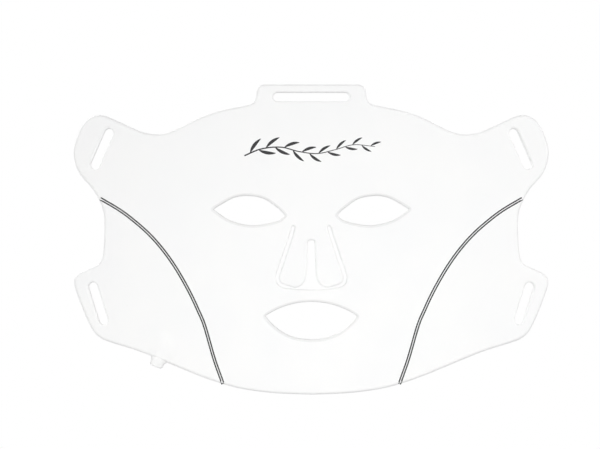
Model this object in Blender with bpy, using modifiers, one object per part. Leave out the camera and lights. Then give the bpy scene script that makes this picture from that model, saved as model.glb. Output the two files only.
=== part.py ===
"""LED face mask: a flexible silicone light mask as an assembly of its real pieces, in metres with +Z up.

The mask hangs upright in the XZ plane. Its front faces -Y, the wearer is at +Y, and +X is the viewer's right.
The origin is on the rear face at the nose bridge, on the centre line just above the nose slot.
Lengths below are in millimetres; MM turns them into metres where a mesh or an object is made.
"""

import math

import bmesh
import bpy
import numpy as np
from mathutils import Matrix, Vector

MM = 0.001

# Layers, from the front face at -THICKNESS to the rear face at 0.
THICKNESS = 5.0
FRONT_WALL = 1.6
REAR_SKIN = 1.25
FLEX_THICKNESS = 0.25
STRIP_BASE = 0.2
LED_HEIGHT = 0.8
GAP = 0.3
FRONT_Y = -THICKNESS
POCKET_Y = FRONT_Y + FRONT_WALL
FLEX_Y = POCKET_Y + GAP
STRIP_Y = FLEX_Y + FLEX_THICKNESS + GAP
REAR_SKIN_Y = -REAR_SKIN

# Bend lines. Each panel stops half a gap short of its bend line.
CHEEK_BEND_X = 72.0
TEMPLE_BEND_X = 118.0
TAB_BEND_Z = 88.5
BEYOND = 170.0

# Outline of the sheet, right half, from the tab's side down to the chin.
TAB_TOP_Z = 102.2
TAB_HALF_WIDTH = 36.0
TAB_CORNER = 5.0
OUTLINE_HALF = [
    (37.2, 91.6), (41.5, 88.7), (59.5, 85.0), (73.0, 80.4), (86.0, 74.0), (95.0, 70.2), (102.5, 69.3),
    (112.0, 71.0), (125.5, 77.0), (134.0, 80.8), (141.0, 82.0), (148.4, 78.2), (153.5, 69.5), (156.6, 57.0),
    (153.2, 44.3), (143.2, 32.0), (137.6, 20.5), (136.3, 10.0), (137.0, -7.0), (139.3, -15.3), (146.0, -19.2),
    (153.4, -22.8), (156.3, -29.0), (151.1, -44.5), (144.4, -59.2), (138.5, -65.2), (131.0, -68.2),
    (112.2, -74.2), (89.0, -83.7), (72.6, -90.4), (58.7, -95.1), (45.5, -98.5), (25.0, -101.2), (0.0, -102.3),
]

# Outline of the pocket that holds the circuit, right half, from the forehead to the chin.
POCKET_HALF = [
    (0.0, 84.4), (30.0, 83.4), (59.0, 81.2), (73.0, 76.8), (87.0, 70.0), (96.0, 66.8), (104.0, 65.8),
    (114.0, 66.4), (122.5, 65.0), (128.0, 59.5), (130.0, 50.0), (130.2, 0.0), (130.0, -42.0), (127.5, -54.0),
    (121.0, -64.0), (110.5, -70.8), (88.0, -80.4), (71.5, -87.0), (57.8, -91.7), (44.8, -95.0),
    (24.8, -97.9), (0.0, -99.0),
]

# Holes, right side or right half.
EYE_UPPER = [(17.2, 15.9), (21.2, 20.0), (31.2, 26.8), (42.4, 28.8), (52.0, 27.1), (64.6, 20.0)]
EYE_LOWER = [(64.6, 20.0), (53.5, 12.6), (38.8, 9.4), (23.0, 12.0), (17.2, 15.9)]
MOUTH_CORNER = (30.3, -50.5)
MOUTH_TOP_Z = -41.1
MOUTH_LOWER_HALF = [(30.3, -50.5), (25.2, -56.2), (17.6, -61.8), (9.0, -65.0), (0.0, -66.0)]
SLOT_TOP_Z = -0.5
FLAP_BEND = [(2.3, -1.2), (11.6, 8.2)]
NOSE_OUTER_HALF = [
    (12.6, 7.4), (15.4, -0.4), (19.0, -11.0), (22.2, -20.2), (23.4, -25.0), (22.4, -29.0), (18.6, -31.6),
    (9.5, -32.8), (0.0, -33.2),
]
FLAP_SIDE = [(12.2, 2.8), (14.2, -3.6), (17.6, -14.0), (20.7, -22.9), (21.3, -26.2), (19.6, -28.9)]
FLAP_FOOT = [
    (15.4, -30.6), (11.0, -31.7), (8.2, -31.2), (5.4, -29.0), (3.6, -25.6), (2.9, -20.0), (2.5, -8.0),
]

# Strap slots: centre, length, width, and tilt from upright in degrees, positive where the top leans outwards.
SLOT_WIDTH = 6.0
TOP_SLOT = {"centre": (0.0, 94.0), "length": 50.4, "width": 5.8}
UPPER_SLOT = {"centre": (138.0, 59.7), "length": 28.8, "tilt": -23.6}
LOWER_SLOT = {"centre": (140.4, -42.2), "length": 29.0, "tilt": 17.5}

# Rims left standing between the pocket and the holes, and the play of the parts inside.
HOLE_RIM = 1.8
PLAY = 0.3
FLEX_INSET = 0.8

# Twin contour line, right side, from the side notch to the chin edge.
CONTOUR = [
    (138.2, 26.6), (125.5, 19.0), (114.8, 10.8), (105.8, 2.6), (97.5, -6.9), (90.4, -16.8), (84.4, -26.7),
    (79.1, -36.6), (74.5, -46.5), (70.2, -56.8), (63.9, -78.5), (58.6, -94.6),
]
CONTOUR_WIDTH = 2.2
CONTOUR_DEPTH = 0.4

# LED strips: a name, the middle, the number of LEDs, and whether the strip stands upright.
LED_PITCH = 14.0
LED_LENGTH = 3.5
LED_WIDTH = 2.8
MIDDLE_STRIPS = [
    ("forehead_top", (0.0, 73.0), 8, False),
    ("forehead_middle", (0.0, 58.0), 8, False),
    ("forehead_bottom", (0.0, 43.0), 8, False),
    ("nose_bridge", (0.0, 24.0), 2, True),
    ("chin_upper", (0.0, -76.0), 9, False),
    ("chin_lower", (0.0, -89.0), 7, False),
]
SIDE_STRIPS = {
    "face": [
        ("brow", (64.0, 56.0), 3, True),
        ("under_eye", (45.5, -3.0), 4, False),
        ("beside_nose", (45.5, -19.0), 3, False),
        ("smile", (52.5, -35.5), 3, False),
        ("beside_mouth", (52.5, -53.0), 2, False),
    ],
    "cheek": [
        ("cheek_inner", (79.0, -4.0), 10, True),
        ("cheek_middle", (92.0, 2.0), 9, True),
        ("cheek_outer", (105.0, 2.0), 8, True),
    ],
    "temple": [("temple", (126.4, 3.0), 7, True)],
}

# Charging jack on the lower left edge. Its axis leaves the edge at right angles, down and to the left.
JACK_EDGE = (-100.7, -79.3)
JACK_TILT = 23.0
JACK_Y = -3.0
BOSS_WIDTH = 9.2
BOSS_THICKNESS = 7.2
BOSS_OUT = 4.8
BOSS_IN = 13.0
JACK_RADIUS = 2.7
JACK_BORE = 2.1
JACK_LENGTH = 14.5
JACK_BACK_WALL = 2.0
PIN_RADIUS = 0.75
PIN_SETBACK = 1.5
CONTACT_LENGTH = 6.5
CONTACT_WIDTH = 1.6
CONTACT_THICKNESS = 0.2
WIRE_RADIUS = 0.4
WIRE_APART = 2.4
WIRE_LEVEL = -2.05

# Bodies: one pivot each, on the bend line that joins it to its neighbour.
PIVOTS = {
    "face_panel": (0.0, 0.0, 0.0),
    "left_cheek": (-CHEEK_BEND_X, 0.0, 0.0),
    "right_cheek": (CHEEK_BEND_X, 0.0, 0.0),
    "left_temple": (-TEMPLE_BEND_X, 0.0, 0.0),
    "right_temple": (TEMPLE_BEND_X, 0.0, 0.0),
    "top_tab": (0.0, 0.0, TAB_BEND_Z),
    "left_nose_flap": (-FLAP_BEND[0][0], FRONT_Y, FLAP_BEND[0][1]),
    "right_nose_flap": (FLAP_BEND[0][0], FRONT_Y, FLAP_BEND[0][1]),
}


def clear_scene():
    for item in list(bpy.data.objects):
        bpy.data.objects.remove(item, do_unlink=True)


def new_collection(name):
    collection = bpy.data.collections.new(name)
    bpy.context.scene.collection.children.link(collection)
    return collection


def new_material(name, colour, roughness, metallic=0.0, alpha=1.0):
    material = bpy.data.materials.new(name)
    material.use_nodes = True
    shader = material.node_tree.nodes["Principled BSDF"]
    shader.inputs["Base Color"].default_value = (*colour, 1.0)
    shader.inputs["Roughness"].default_value = roughness
    shader.inputs["Metallic"].default_value = metallic
    shader.inputs["Alpha"].default_value = alpha
    return material


# Paths: arrays of (x, z) points in millimetres.


def smooth(points, steps):
    """Catmull-Rom curve through the points, with steps pieces between neighbours. Both ends are kept."""
    p = np.array(points, float)
    ends = np.vstack([2 * p[0] - p[1], p, 2 * p[-1] - p[-2]])
    before, start, end, after = ends[:-3], ends[1:-2], ends[2:-1], ends[3:]
    t = (np.arange(steps) / steps)[None, :, None]
    before, start, end, after = (a[:, None, :] for a in (before, start, end, after))
    curve = 0.5 * (
        2 * start
        + (end - before) * t
        + (2 * before - 5 * start + 4 * end - after) * t**2
        + (3 * start - before - 3 * end + after) * t**3
    )
    return np.vstack([curve.reshape(-1, 2), p[-1:]])


def arc(centre, radius, start, end, steps):
    """Points on a circle from one angle to another, in degrees, both ends kept."""
    angle = np.radians(np.linspace(start, end, steps + 1))
    return np.array(centre) + radius * np.column_stack([np.cos(angle), np.sin(angle)])


def flipped(path):
    """The mirror image on the other side of the centre line, running the other way."""
    return (np.array(path) * [-1, 1])[::-1]


def closed_from_half(half):
    """A whole symmetric loop from its right half, which starts and ends on the centre line."""
    return np.vstack([half, flipped(half)[1:-1]])


def anticlockwise(loop):
    x, z = np.array(loop, float).T
    area = np.sum(x * np.roll(z, -1) - np.roll(x, -1) * z)
    return np.array(loop) if area > 0 else np.array(loop)[::-1]


def grown(loop, distance):
    """The loop moved outwards by distance along mitred corner normals, or inwards when it is negative."""
    p = anticlockwise(loop)
    ahead = np.roll(p, -1, axis=0) - p
    ahead /= np.linalg.norm(ahead, axis=1)[:, None]
    normal = np.column_stack([ahead[:, 1], -ahead[:, 0]])
    both = normal + np.roll(normal, 1, axis=0)
    both /= np.linalg.norm(both, axis=1)[:, None]
    lengthening = np.clip(np.sum(both * normal, axis=1), 0.5, 1.0)
    return p + distance * both / lengthening[:, None]


def ribbon(path, width):
    """The closed outline of a band of the given width along an open path."""
    direction = np.gradient(path, axis=0)
    direction /= np.linalg.norm(direction, axis=1)[:, None]
    side = np.column_stack([direction[:, 1], -direction[:, 0]]) * width / 2
    return np.vstack([path + side, (path - side)[::-1]])


def stadium(centre, length, width, tilt, steps=5):
    """A slot with round ends, upright at tilt 0 and leaning towards +X at the top when tilt is positive."""
    reach = (length - width) / 2
    top = arc((0, reach), width / 2, 0, 180, steps)
    foot = arc((0, -reach), width / 2, 180, 360, steps)
    cosine, sine = math.cos(math.radians(tilt)), math.sin(math.radians(tilt))
    return np.vstack([top, foot]) @ np.array([[cosine, -sine], [sine, cosine]]) + np.array(centre)


def sheet_outline():
    top = np.array([(0.0, TAB_TOP_Z)])
    corner_centre = (TAB_HALF_WIDTH - TAB_CORNER, TAB_TOP_Z - TAB_CORNER)
    corner = arc(corner_centre, TAB_CORNER, 90, 0, 4)
    side = smooth([tuple(corner[-1]), *OUTLINE_HALF], 2)
    return closed_from_half(np.vstack([top, corner, side[1:]]))


def pocket_outline():
    return closed_from_half(np.array(POCKET_HALF))


def eye_outline():
    return np.vstack([smooth(EYE_UPPER, 2), smooth(EYE_LOWER, 2)[1:-1]])


def mouth_outline():
    """A circular arc above, through the corners and the middle of the upper lip, and a curve below."""
    x, z = MOUTH_CORNER
    rise = MOUTH_TOP_Z - z
    radius = (x**2 + rise**2) / (2 * rise)
    reach = math.degrees(math.asin(x / radius))
    upper = arc((0, MOUTH_TOP_Z - radius), radius, 90, 90 - reach, 5)
    return closed_from_half(np.vstack([upper[:-1], smooth(MOUTH_LOWER_HALF, 2)]))


def nose_outline():
    """The opening without its flaps: the slot's top, both bend lines and the outer edges of the slits."""
    slot_top = np.array([(0.0, SLOT_TOP_Z)])
    outer = smooth(NOSE_OUTER_HALF, 2)
    return closed_from_half(np.vstack([slot_top, FLAP_BEND, outer]))


def nose_rim_outline():
    """The opening with a straight top across both bend lines, which the rim inside the skin follows."""
    top = FLAP_BEND[1][1]
    return closed_from_half(np.vstack([(0.0, top), FLAP_BEND[1], smooth(NOSE_OUTER_HALF, 2)]))


def flap_outline():
    """The right flap, whose top edge runs GAP below the bend line."""
    low, high = np.array(FLAP_BEND)
    along = (high - low) / np.linalg.norm(high - low)
    below = np.array([along[1], -along[0]]) * GAP
    top = np.vstack([low + below + 0.3 * along, high + below - 1.6 * along])
    edge = smooth([*FLAP_SIDE, *FLAP_FOOT], 2)
    return np.vstack([top, edge])


def side_slots():
    """The four slanted slots as loops."""
    loops = []
    for slot in (UPPER_SLOT, LOWER_SLOT):
        right = stadium(slot["centre"], slot["length"], SLOT_WIDTH, slot["tilt"])
        loops += [right, flipped(right)]
    return loops


def top_slot():
    """The top slot lies flat: an upright stadium turned by 90 degrees."""
    return stadium(TOP_SLOT["centre"], TOP_SLOT["length"], TOP_SLOT["width"], 90)


def face_holes():
    return [eye_outline(), flipped(eye_outline()), mouth_outline(), nose_outline()]


def rims(distance):
    """The loops that lie this far outside the holes of the face."""
    return [grown(hole, distance) for hole in (*face_holes()[:-1], nose_rim_outline())]


# Solids


def slab(name, loops, y_low, y_high):
    """A flat solid between two depths, filled inside the first loop and open inside the others."""
    curve = bpy.data.curves.new(name, "CURVE")
    curve.dimensions = "2D"
    curve.fill_mode = "BOTH"
    curve.extrude = (y_high - y_low) / 2 * MM
    for loop in loops:
        spline = curve.splines.new("POLY")
        spline.points.add(len(loop) - 1)
        for point, (x, z) in zip(spline.points, loop):
            point.co = (x * MM, z * MM, 0.0, 1.0)
        spline.use_cyclic_u = True
    flat = bpy.data.objects.new(name + "_curve", curve)
    flat.rotation_euler = (math.pi / 2, 0.0, 0.0)
    flat.location = (0.0, (y_low + y_high) / 2 * MM, 0.0)
    return mesh_from(flat, name)


def mesh_from(drawn, name):
    """The drawn curve as a closed mesh object of its own, at the same place."""
    scene = bpy.context.scene.collection
    scene.objects.link(drawn)
    bpy.context.view_layer.update()
    mesh = bpy.data.meshes.new_from_object(drawn.evaluated_get(bpy.context.evaluated_depsgraph_get()))
    mesh.name = name
    mesh.transform(drawn.matrix_world)
    bpy.data.objects.remove(drawn, do_unlink=True)
    work = bmesh.new()
    work.from_mesh(mesh)
    bmesh.ops.remove_doubles(work, verts=work.verts, dist=1e-6)
    bmesh.ops.recalc_face_normals(work, faces=work.faces)
    work.to_mesh(mesh)
    work.free()
    return bpy.data.objects.new(name, mesh)


def block(name, low, high):
    """A box between two corners in millimetres."""
    size = [b - a for a, b in zip(low, high)]
    middle = [(a + b) / 2 for a, b in zip(low, high)]
    work = bmesh.new()
    bmesh.ops.create_cube(work, size=1.0)
    bmesh.ops.scale(work, vec=Vector(size) * MM, verts=work.verts)
    bmesh.ops.translate(work, vec=Vector(middle) * MM, verts=work.verts)
    mesh = bpy.data.meshes.new(name)
    work.to_mesh(mesh)
    work.free()
    return bpy.data.objects.new(name, mesh)


def cut(item, tool, operation="DIFFERENCE"):
    modifier = item.modifiers.new(operation.title() + "_" + tool.name, "BOOLEAN")
    modifier.operation = operation
    modifier.solver = "EXACT"
    modifier.object = tool


class Assembly:
    """Keeps the two collections, the materials and one pivot empty for each body."""

    def __init__(self):
        self.parts = new_collection("led_face_mask")
        self.cutters = new_collection("cutters")
        self.cutters.hide_render = True
        self.pivots = {}
        for body, place in PIVOTS.items():
            pivot = bpy.data.objects.new("pivot_" + body, None)
            pivot.empty_display_size = 0.01
            pivot.location = Vector(place) * MM
            self.parts.objects.link(pivot)
            self.pivots[body] = pivot
        self.materials = {
            "silicone_white": new_material("silicone_white", (0.9, 0.9, 0.89), 0.6),
            "silicone_clear": new_material("silicone_clear", (0.86, 0.88, 0.88), 0.3, alpha=0.45),
            "flex_circuit": new_material("flex_circuit", (0.86, 0.83, 0.74), 0.5),
            "led": new_material("led", (0.93, 0.86, 0.55), 0.35),
            "contour_ink": new_material("contour_ink", (0.1, 0.1, 0.11), 0.6),
            "jack_metal": new_material("jack_metal", (0.75, 0.74, 0.72), 0.3, metallic=1.0),
            "wire_sleeve": new_material("wire_sleeve", (0.6, 0.08, 0.06), 0.5),
        }

    def add(self, item, body, material):
        """Puts a part in its collection, on its body's pivot, without moving it."""
        self.parts.objects.link(item)
        pivot = self.pivots[body]
        item.parent = pivot
        item.matrix_parent_inverse = Matrix.Translation(pivot.location).inverted()
        if not item.data.materials:
            item.data.materials.append(self.materials[material])
        return item

    def tool(self, item):
        self.cutters.objects.link(item)
        item.hide_render = True
        item.display_type = "WIRE"
        return item


def panel_boxes(assembly):
    """One box for each panel: what lies inside it belongs to that panel."""
    half = GAP / 2
    spans = {
        "face_panel": (-CHEEK_BEND_X + half, CHEEK_BEND_X - half),
        "left_cheek": (-TEMPLE_BEND_X + half, -CHEEK_BEND_X - half),
        "right_cheek": (CHEEK_BEND_X + half, TEMPLE_BEND_X - half),
        "left_temple": (-BEYOND, -TEMPLE_BEND_X - half),
        "right_temple": (TEMPLE_BEND_X + half, BEYOND),
    }
    boxes = {}
    for body, (low, high) in spans.items():
        top = TAB_BEND_Z - half if body == "face_panel" else BEYOND
        corners = (low, -20.0, -BEYOND), (high, 20.0, top)
        boxes[body] = assembly.tool(block("space_" + body, *corners))
    return boxes


def short_name(body):
    return body.replace("face_panel", "face")


def panel_name(side, place):
    """The body that holds a place on one side: the face panel is shared by both."""
    return "face_panel" if place == "face" else f"{side}_{place}"


def place_on_jack(item):
    """Turns a piece made along +X to point out of the jack's mouth, and moves it to the sheet's edge."""
    x, z = JACK_EDGE
    turn = Matrix.Rotation(math.radians(90 - JACK_TILT), 4, "Y")
    away = Matrix.Rotation(math.pi, 4, "Z")
    item.data.transform(Matrix.Translation(Vector((x, JACK_Y, z)) * MM) @ away @ turn)
    return item


def boss_solid(name, extra):
    """The jack boss: an oval bar along +X through the sheet's edge. Extra widens it all round."""
    angle = np.linspace(0, 2 * math.pi, 20, endpoint=False)
    across = (BOSS_THICKNESS / 2 + extra) * np.sin(angle)
    wide = (BOSS_WIDTH / 2 + extra) * np.cos(angle)
    work = bmesh.new()
    section = [work.verts.new((-(BOSS_IN + extra) * MM, y * MM, z * MM)) for y, z in zip(across, wide)]
    end = work.faces.new(section)
    pushed = bmesh.ops.extrude_face_region(work, geom=[end])["geom"]
    corners = [v for v in pushed if isinstance(v, bmesh.types.BMVert)]
    bmesh.ops.translate(work, vec=((BOSS_IN + BOSS_OUT + 2 * extra) * MM, 0, 0), verts=corners)
    bmesh.ops.recalc_face_normals(work, faces=work.faces)
    mesh = bpy.data.meshes.new(name)
    work.to_mesh(mesh)
    work.free()
    return place_on_jack(bpy.data.objects.new(name, mesh))


def turned(name, profile, steps):
    """A solid of revolution about +X from (x, radius) points that start and end on the axis."""
    mesh = bpy.data.meshes.new(name)
    points = [(x * MM, 0.0, r * MM) for x, r in profile]
    mesh.from_pydata(points, [(i, i + 1) for i in range(len(points) - 1)], [])
    item = bpy.data.objects.new(name, mesh)
    screw = item.modifiers.new("Turn", "SCREW")
    screw.axis = "X"
    screw.steps = steps
    screw.render_steps = steps
    screw.use_merge_vertices = True
    screw.merge_threshold = 1e-6
    return item


def turned_mesh(name, profile, steps=20):
    """The same, applied, with its faces turned outwards, and placed on the jack."""
    item = mesh_from(turned(name, profile, steps), name)
    return place_on_jack(item)


def tube(name, points, radius):
    """A round wire through points given as (x, y, z) in millimetres."""
    curve = bpy.data.curves.new(name, "CURVE")
    curve.dimensions = "3D"
    curve.bevel_depth = radius * MM
    curve.bevel_resolution = 2
    curve.use_fill_caps = True
    spline = curve.splines.new("POLY")
    spline.points.add(len(points) - 1)
    for point, place in zip(spline.points, points):
        point.co = (*(Vector(place) * MM), 1.0)
    return mesh_from(bpy.data.objects.new(name + "_curve", curve), name)


# Sub-parts


def add_front_skins(assembly, boxes):
    """White silicone: full thickness round the outline and holes, and FRONT_WALL over the pocket."""
    sheet = slab("sheet", [sheet_outline(), *face_holes(), *side_slots()], FRONT_Y, 0.0)
    sheet_mesh = sheet.data
    bpy.data.objects.remove(sheet, do_unlink=True)
    pocket = assembly.tool(slab("pocket", [pocket_outline(), *rims(HOLE_RIM)], POCKET_Y, 5.0))
    grooves = {}
    for side, mirror in (("right", 1), ("left", -1)):
        path = smooth(CONTOUR, 2) * [mirror, 1]
        start = path[0] + (path[0] - path[1]) * 0.6
        finish = path[-1] + (path[-1] - path[-2]) * 0.6
        path = np.vstack([start, path[1:-1], finish])
        outline = ribbon(path, CONTOUR_WIDTH + 2 * PLAY)
        floor = FRONT_Y + CONTOUR_DEPTH + GAP
        grooves[side] = assembly.tool(slab("groove_" + side, [outline], FRONT_Y - 1.0, floor))
    boss = assembly.tool(boss_solid("boss", 0.0))
    inner, outer, radius = -BOSS_IN - 2.0, BOSS_OUT + 2.0, JACK_RADIUS + PLAY
    bore = [(inner, 0.0), (inner, radius), (outer, radius), (outer, 0.0)]
    bore_tool = assembly.tool(turned_mesh("jack_bore", bore))
    for body, box in boxes.items():
        skin = bpy.data.objects.new("front_skin_" + short_name(body), sheet_mesh.copy())
        assembly.add(skin, body, "silicone_white")
        cut(skin, box, "INTERSECT")
        cut(skin, pocket)
        if "left" in body or body == "face_panel":
            cut(skin, grooves["left"])
        if "right" in body or body == "face_panel":
            cut(skin, grooves["right"])
        if body == "left_cheek":
            cut(skin, boss, "UNION")
            cut(skin, bore_tool)


def add_top_tab(assembly):
    tab = slab("top_strap_tab", [sheet_outline(), top_slot()], FRONT_Y, 0.0)
    assembly.add(tab, "top_tab", "silicone_white")
    box = block("space_top_tab", (-60.0, -20.0, TAB_BEND_Z + GAP / 2), (60.0, 20.0, BEYOND))
    cut(tab, assembly.tool(box), "INTERSECT")


def add_nose_flaps(assembly):
    for side in ("left", "right"):
        outline = flap_outline() if side == "right" else flipped(flap_outline())
        flap = slab(side + "_nose_flap", [outline], FRONT_Y, 0.0)
        assembly.add(flap, side + "_nose_flap", "silicone_white")


def add_inner_sheets(assembly, boxes):
    """The flexible circuit and the clear rear skin fill the pocket, PLAY away from its walls."""
    clearance = assembly.tool(boss_solid("boss_clearance", PLAY))
    layers = [
        ("rear_skin_", "silicone_clear", PLAY, REAR_SKIN_Y, 0.0),
        ("flex_circuit_", "flex_circuit", FLEX_INSET, FLEX_Y, FLEX_Y + FLEX_THICKNESS),
    ]
    for prefix, material, inset, low, high in layers:
        loops = [grown(pocket_outline(), -inset), *rims(HOLE_RIM + inset)]
        whole = slab(prefix + "whole", loops, low, high)
        mesh = whole.data
        bpy.data.objects.remove(whole, do_unlink=True)
        for body, box in boxes.items():
            sheet = bpy.data.objects.new(prefix + short_name(body), mesh.copy())
            assembly.add(sheet, body, material)
            cut(sheet, box, "INTERSECT")
            if body == "left_cheek":
                cut(sheet, clearance)


def led_strip(name, middle, count, upright):
    """A carrier strip with LED packages standing on it towards the wearer, as one battlemented outline."""
    length = (count - 1) * LED_PITCH + 2 * LED_LENGTH
    top = STRIP_BASE + LED_HEIGHT
    outline = [(-length / 2, 0.0), (length / 2, 0.0), (length / 2, STRIP_BASE)]
    for i in reversed(range(count)):
        centre = (i - (count - 1) / 2) * LED_PITCH
        right, left = centre + LED_LENGTH / 2, centre - LED_LENGTH / 2
        outline += [(right, STRIP_BASE), (right, top), (left, top), (left, STRIP_BASE)]
    outline.append((-length / 2, STRIP_BASE))
    strip = slab(name, [np.array(outline)], -LED_WIDTH / 2, LED_WIDTH / 2)
    place = Matrix.Translation(Vector((middle[0], STRIP_Y, middle[1])) * MM)
    stand = Matrix.Rotation(math.pi / 2, 4, "Y") if upright else Matrix.Identity(4)
    strip.data.transform(place @ stand @ Matrix.Rotation(-math.pi / 2, 4, "X"))
    return strip


def add_led_strips(assembly):
    for name, middle, count, upright in MIDDLE_STRIPS:
        assembly.add(led_strip("led_strip_" + name, middle, count, upright), "face_panel", "led")
    for side, mirror in (("left", -1), ("right", 1)):
        for place, strips in SIDE_STRIPS.items():
            body = panel_name(side, place)
            for name, (x, z), count, upright in strips:
                node = f"led_strip_{side}_{name}"
                assembly.add(led_strip(node, (x * mirror, z), count, upright), body, "led")


def add_contour_inlays(assembly, boxes):
    """The dark twin line as a flush inlay, in one length on each panel that it crosses."""
    places = {"chin": "face", "cheek": "cheek", "temple": "temple"}
    for side, mirror in (("left", -1), ("right", 1)):
        path = smooth(CONTOUR, 2) * [mirror, 1]
        outline = ribbon(path, CONTOUR_WIDTH)
        whole = slab("inlay_" + side, [outline], FRONT_Y, FRONT_Y + CONTOUR_DEPTH)
        mesh = whole.data
        bpy.data.objects.remove(whole, do_unlink=True)
        for place, panel in places.items():
            body = panel_name(side, panel)
            inlay = bpy.data.objects.new(f"contour_inlay_{side}_{place}", mesh.copy())
            assembly.add(inlay, body, "contour_ink")
            cut(inlay, boxes[body], "INTERSECT")


def add_jack(assembly):
    """The barrel with its bore, a centre pin, a spring contact and two leads to the circuit."""
    mouth = BOSS_OUT
    back = mouth - JACK_LENGTH
    floor = back + JACK_BACK_WALL
    outside = [(back, 0.0), (back, JACK_RADIUS), (mouth, JACK_RADIUS)]
    inside = [(mouth, JACK_BORE), (floor, JACK_BORE), (floor, 0.0)]
    assembly.add(turned_mesh("jack_barrel", outside + inside), "left_cheek", "jack_metal")
    base, tip = floor + GAP, mouth - PIN_SETBACK
    shank = [(base, 0.0), (base, PIN_RADIUS), (tip - PIN_RADIUS, PIN_RADIUS)]
    nose = [(tip, PIN_RADIUS / 2), (tip, 0.0)]
    assembly.add(turned_mesh("jack_centre_pin", shank + nose, 12), "left_cheek", "jack_metal")
    near, far = JACK_BORE - PLAY - CONTACT_THICKNESS, JACK_BORE - PLAY
    half = CONTACT_WIDTH / 2
    contact = block("jack_spring_contact", (base, near, -half), (base + CONTACT_LENGTH, far, half))
    assembly.add(place_on_jack(contact), "left_cheek", "jack_metal")
    for name, offset in (("positive", -WIRE_APART / 2), ("negative", WIRE_APART / 2)):
        lead = tube("lead_" + name, lead_route(back - GAP, offset), WIRE_RADIUS)
        assembly.add(lead, "left_cheek", "wire_sleeve")


def lead_route(start, offset):
    """From behind the barrel up the jack's axis, rising towards the wearer, then level over the circuit."""
    tilt = math.radians(JACK_TILT)
    out = np.array([-math.sin(tilt), -math.cos(tilt)])
    aside = np.array([math.cos(tilt), -math.sin(tilt)])
    edge = np.array(JACK_EDGE)
    halfway = (JACK_Y + WIRE_LEVEL) / 2
    steps = [(0.0, JACK_Y), (1.5, JACK_Y + 0.2), (2.5, halfway), (3.5, WIRE_LEVEL), (8.5, WIRE_LEVEL)]
    route = []
    for inwards, y in steps:
        x, z = edge + out * (start - inwards) + aside * offset
        route.append((x, y, z))
    return route


def finish_shading(assembly):
    """Round pieces shade smooth, with the hard edges kept sharp."""
    for item in assembly.parts.objects:
        if item.type == "MESH":
            item.data.shade_smooth()
            item.data.set_sharp_from_angle(angle=math.radians(35))


def build():
    clear_scene()
    assembly = Assembly()
    boxes = panel_boxes(assembly)
    add_front_skins(assembly, boxes)
    add_top_tab(assembly)
    add_nose_flaps(assembly)
    add_inner_sheets(assembly, boxes)
    add_led_strips(assembly)
    add_contour_inlays(assembly, boxes)
    add_jack(assembly)
    finish_shading(assembly)


build()
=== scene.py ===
# %% [markdown]
# # The looks of a flexible LED face mask
# The real object is a soft silicone sheet, 5 mm thick, that hangs in front of a face. A white outer skin
# holds a flexible circuit with rows of LEDs, and a milky clear skin closes the back over them.
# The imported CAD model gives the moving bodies. This lesson builds the finished surfaces around it, cell by
# cell: paths first, then materials, then each layer from the front of the sheet to its back.

import math

import bmesh
import bpy
import numpy as np
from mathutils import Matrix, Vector
from mathutils.geometry import delaunay_2d_cdt


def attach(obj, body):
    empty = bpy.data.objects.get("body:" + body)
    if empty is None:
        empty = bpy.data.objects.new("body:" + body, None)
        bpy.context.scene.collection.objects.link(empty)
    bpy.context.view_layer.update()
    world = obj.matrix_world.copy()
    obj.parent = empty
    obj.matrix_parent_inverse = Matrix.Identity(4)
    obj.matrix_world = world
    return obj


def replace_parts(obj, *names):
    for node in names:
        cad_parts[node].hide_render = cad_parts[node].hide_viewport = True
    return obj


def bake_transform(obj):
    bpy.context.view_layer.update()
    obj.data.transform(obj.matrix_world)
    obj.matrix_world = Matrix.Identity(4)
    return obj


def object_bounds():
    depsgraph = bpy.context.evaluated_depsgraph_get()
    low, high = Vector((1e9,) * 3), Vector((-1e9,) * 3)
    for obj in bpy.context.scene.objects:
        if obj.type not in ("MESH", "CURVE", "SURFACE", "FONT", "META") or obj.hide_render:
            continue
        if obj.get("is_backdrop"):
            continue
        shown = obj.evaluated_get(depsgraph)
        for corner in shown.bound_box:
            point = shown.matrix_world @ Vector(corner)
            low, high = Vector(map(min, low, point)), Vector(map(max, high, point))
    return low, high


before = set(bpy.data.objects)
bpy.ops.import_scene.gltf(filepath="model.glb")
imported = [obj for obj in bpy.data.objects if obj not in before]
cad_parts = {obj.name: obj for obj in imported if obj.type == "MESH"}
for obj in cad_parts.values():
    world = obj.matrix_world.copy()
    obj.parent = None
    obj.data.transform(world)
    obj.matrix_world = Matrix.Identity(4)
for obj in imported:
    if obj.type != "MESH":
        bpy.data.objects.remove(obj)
cad_low, cad_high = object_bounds()
MM = 0.001

# %% [markdown]
# ## Sizes
# A sheet like this is drawn flat, so nearly every size is a depth through the sheet or a point on its face.
# Depths run along Y: the front face is at -5 mm and the wearer's side is at 0. Points are (x, z) in
# millimetres, and only the right half is written down, because the left half is its mirror image.

# %% Depths of the layers
FRONT_Y = -5.0
POCKET_Y = -3.4
FLEX_Y = -3.1
FLEX_THICKNESS = 0.25
STRIP_Y = -2.55
STRIP_BASE = 0.2
LED_HEIGHT = 0.8
REAR_SKIN_Y = -1.25
HOLE_RIM = 1.8
print(f"front wall {POCKET_Y - FRONT_Y:.1f} mm, circuit at {FLEX_Y} mm, rear skin {-REAR_SKIN_Y} mm")

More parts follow.
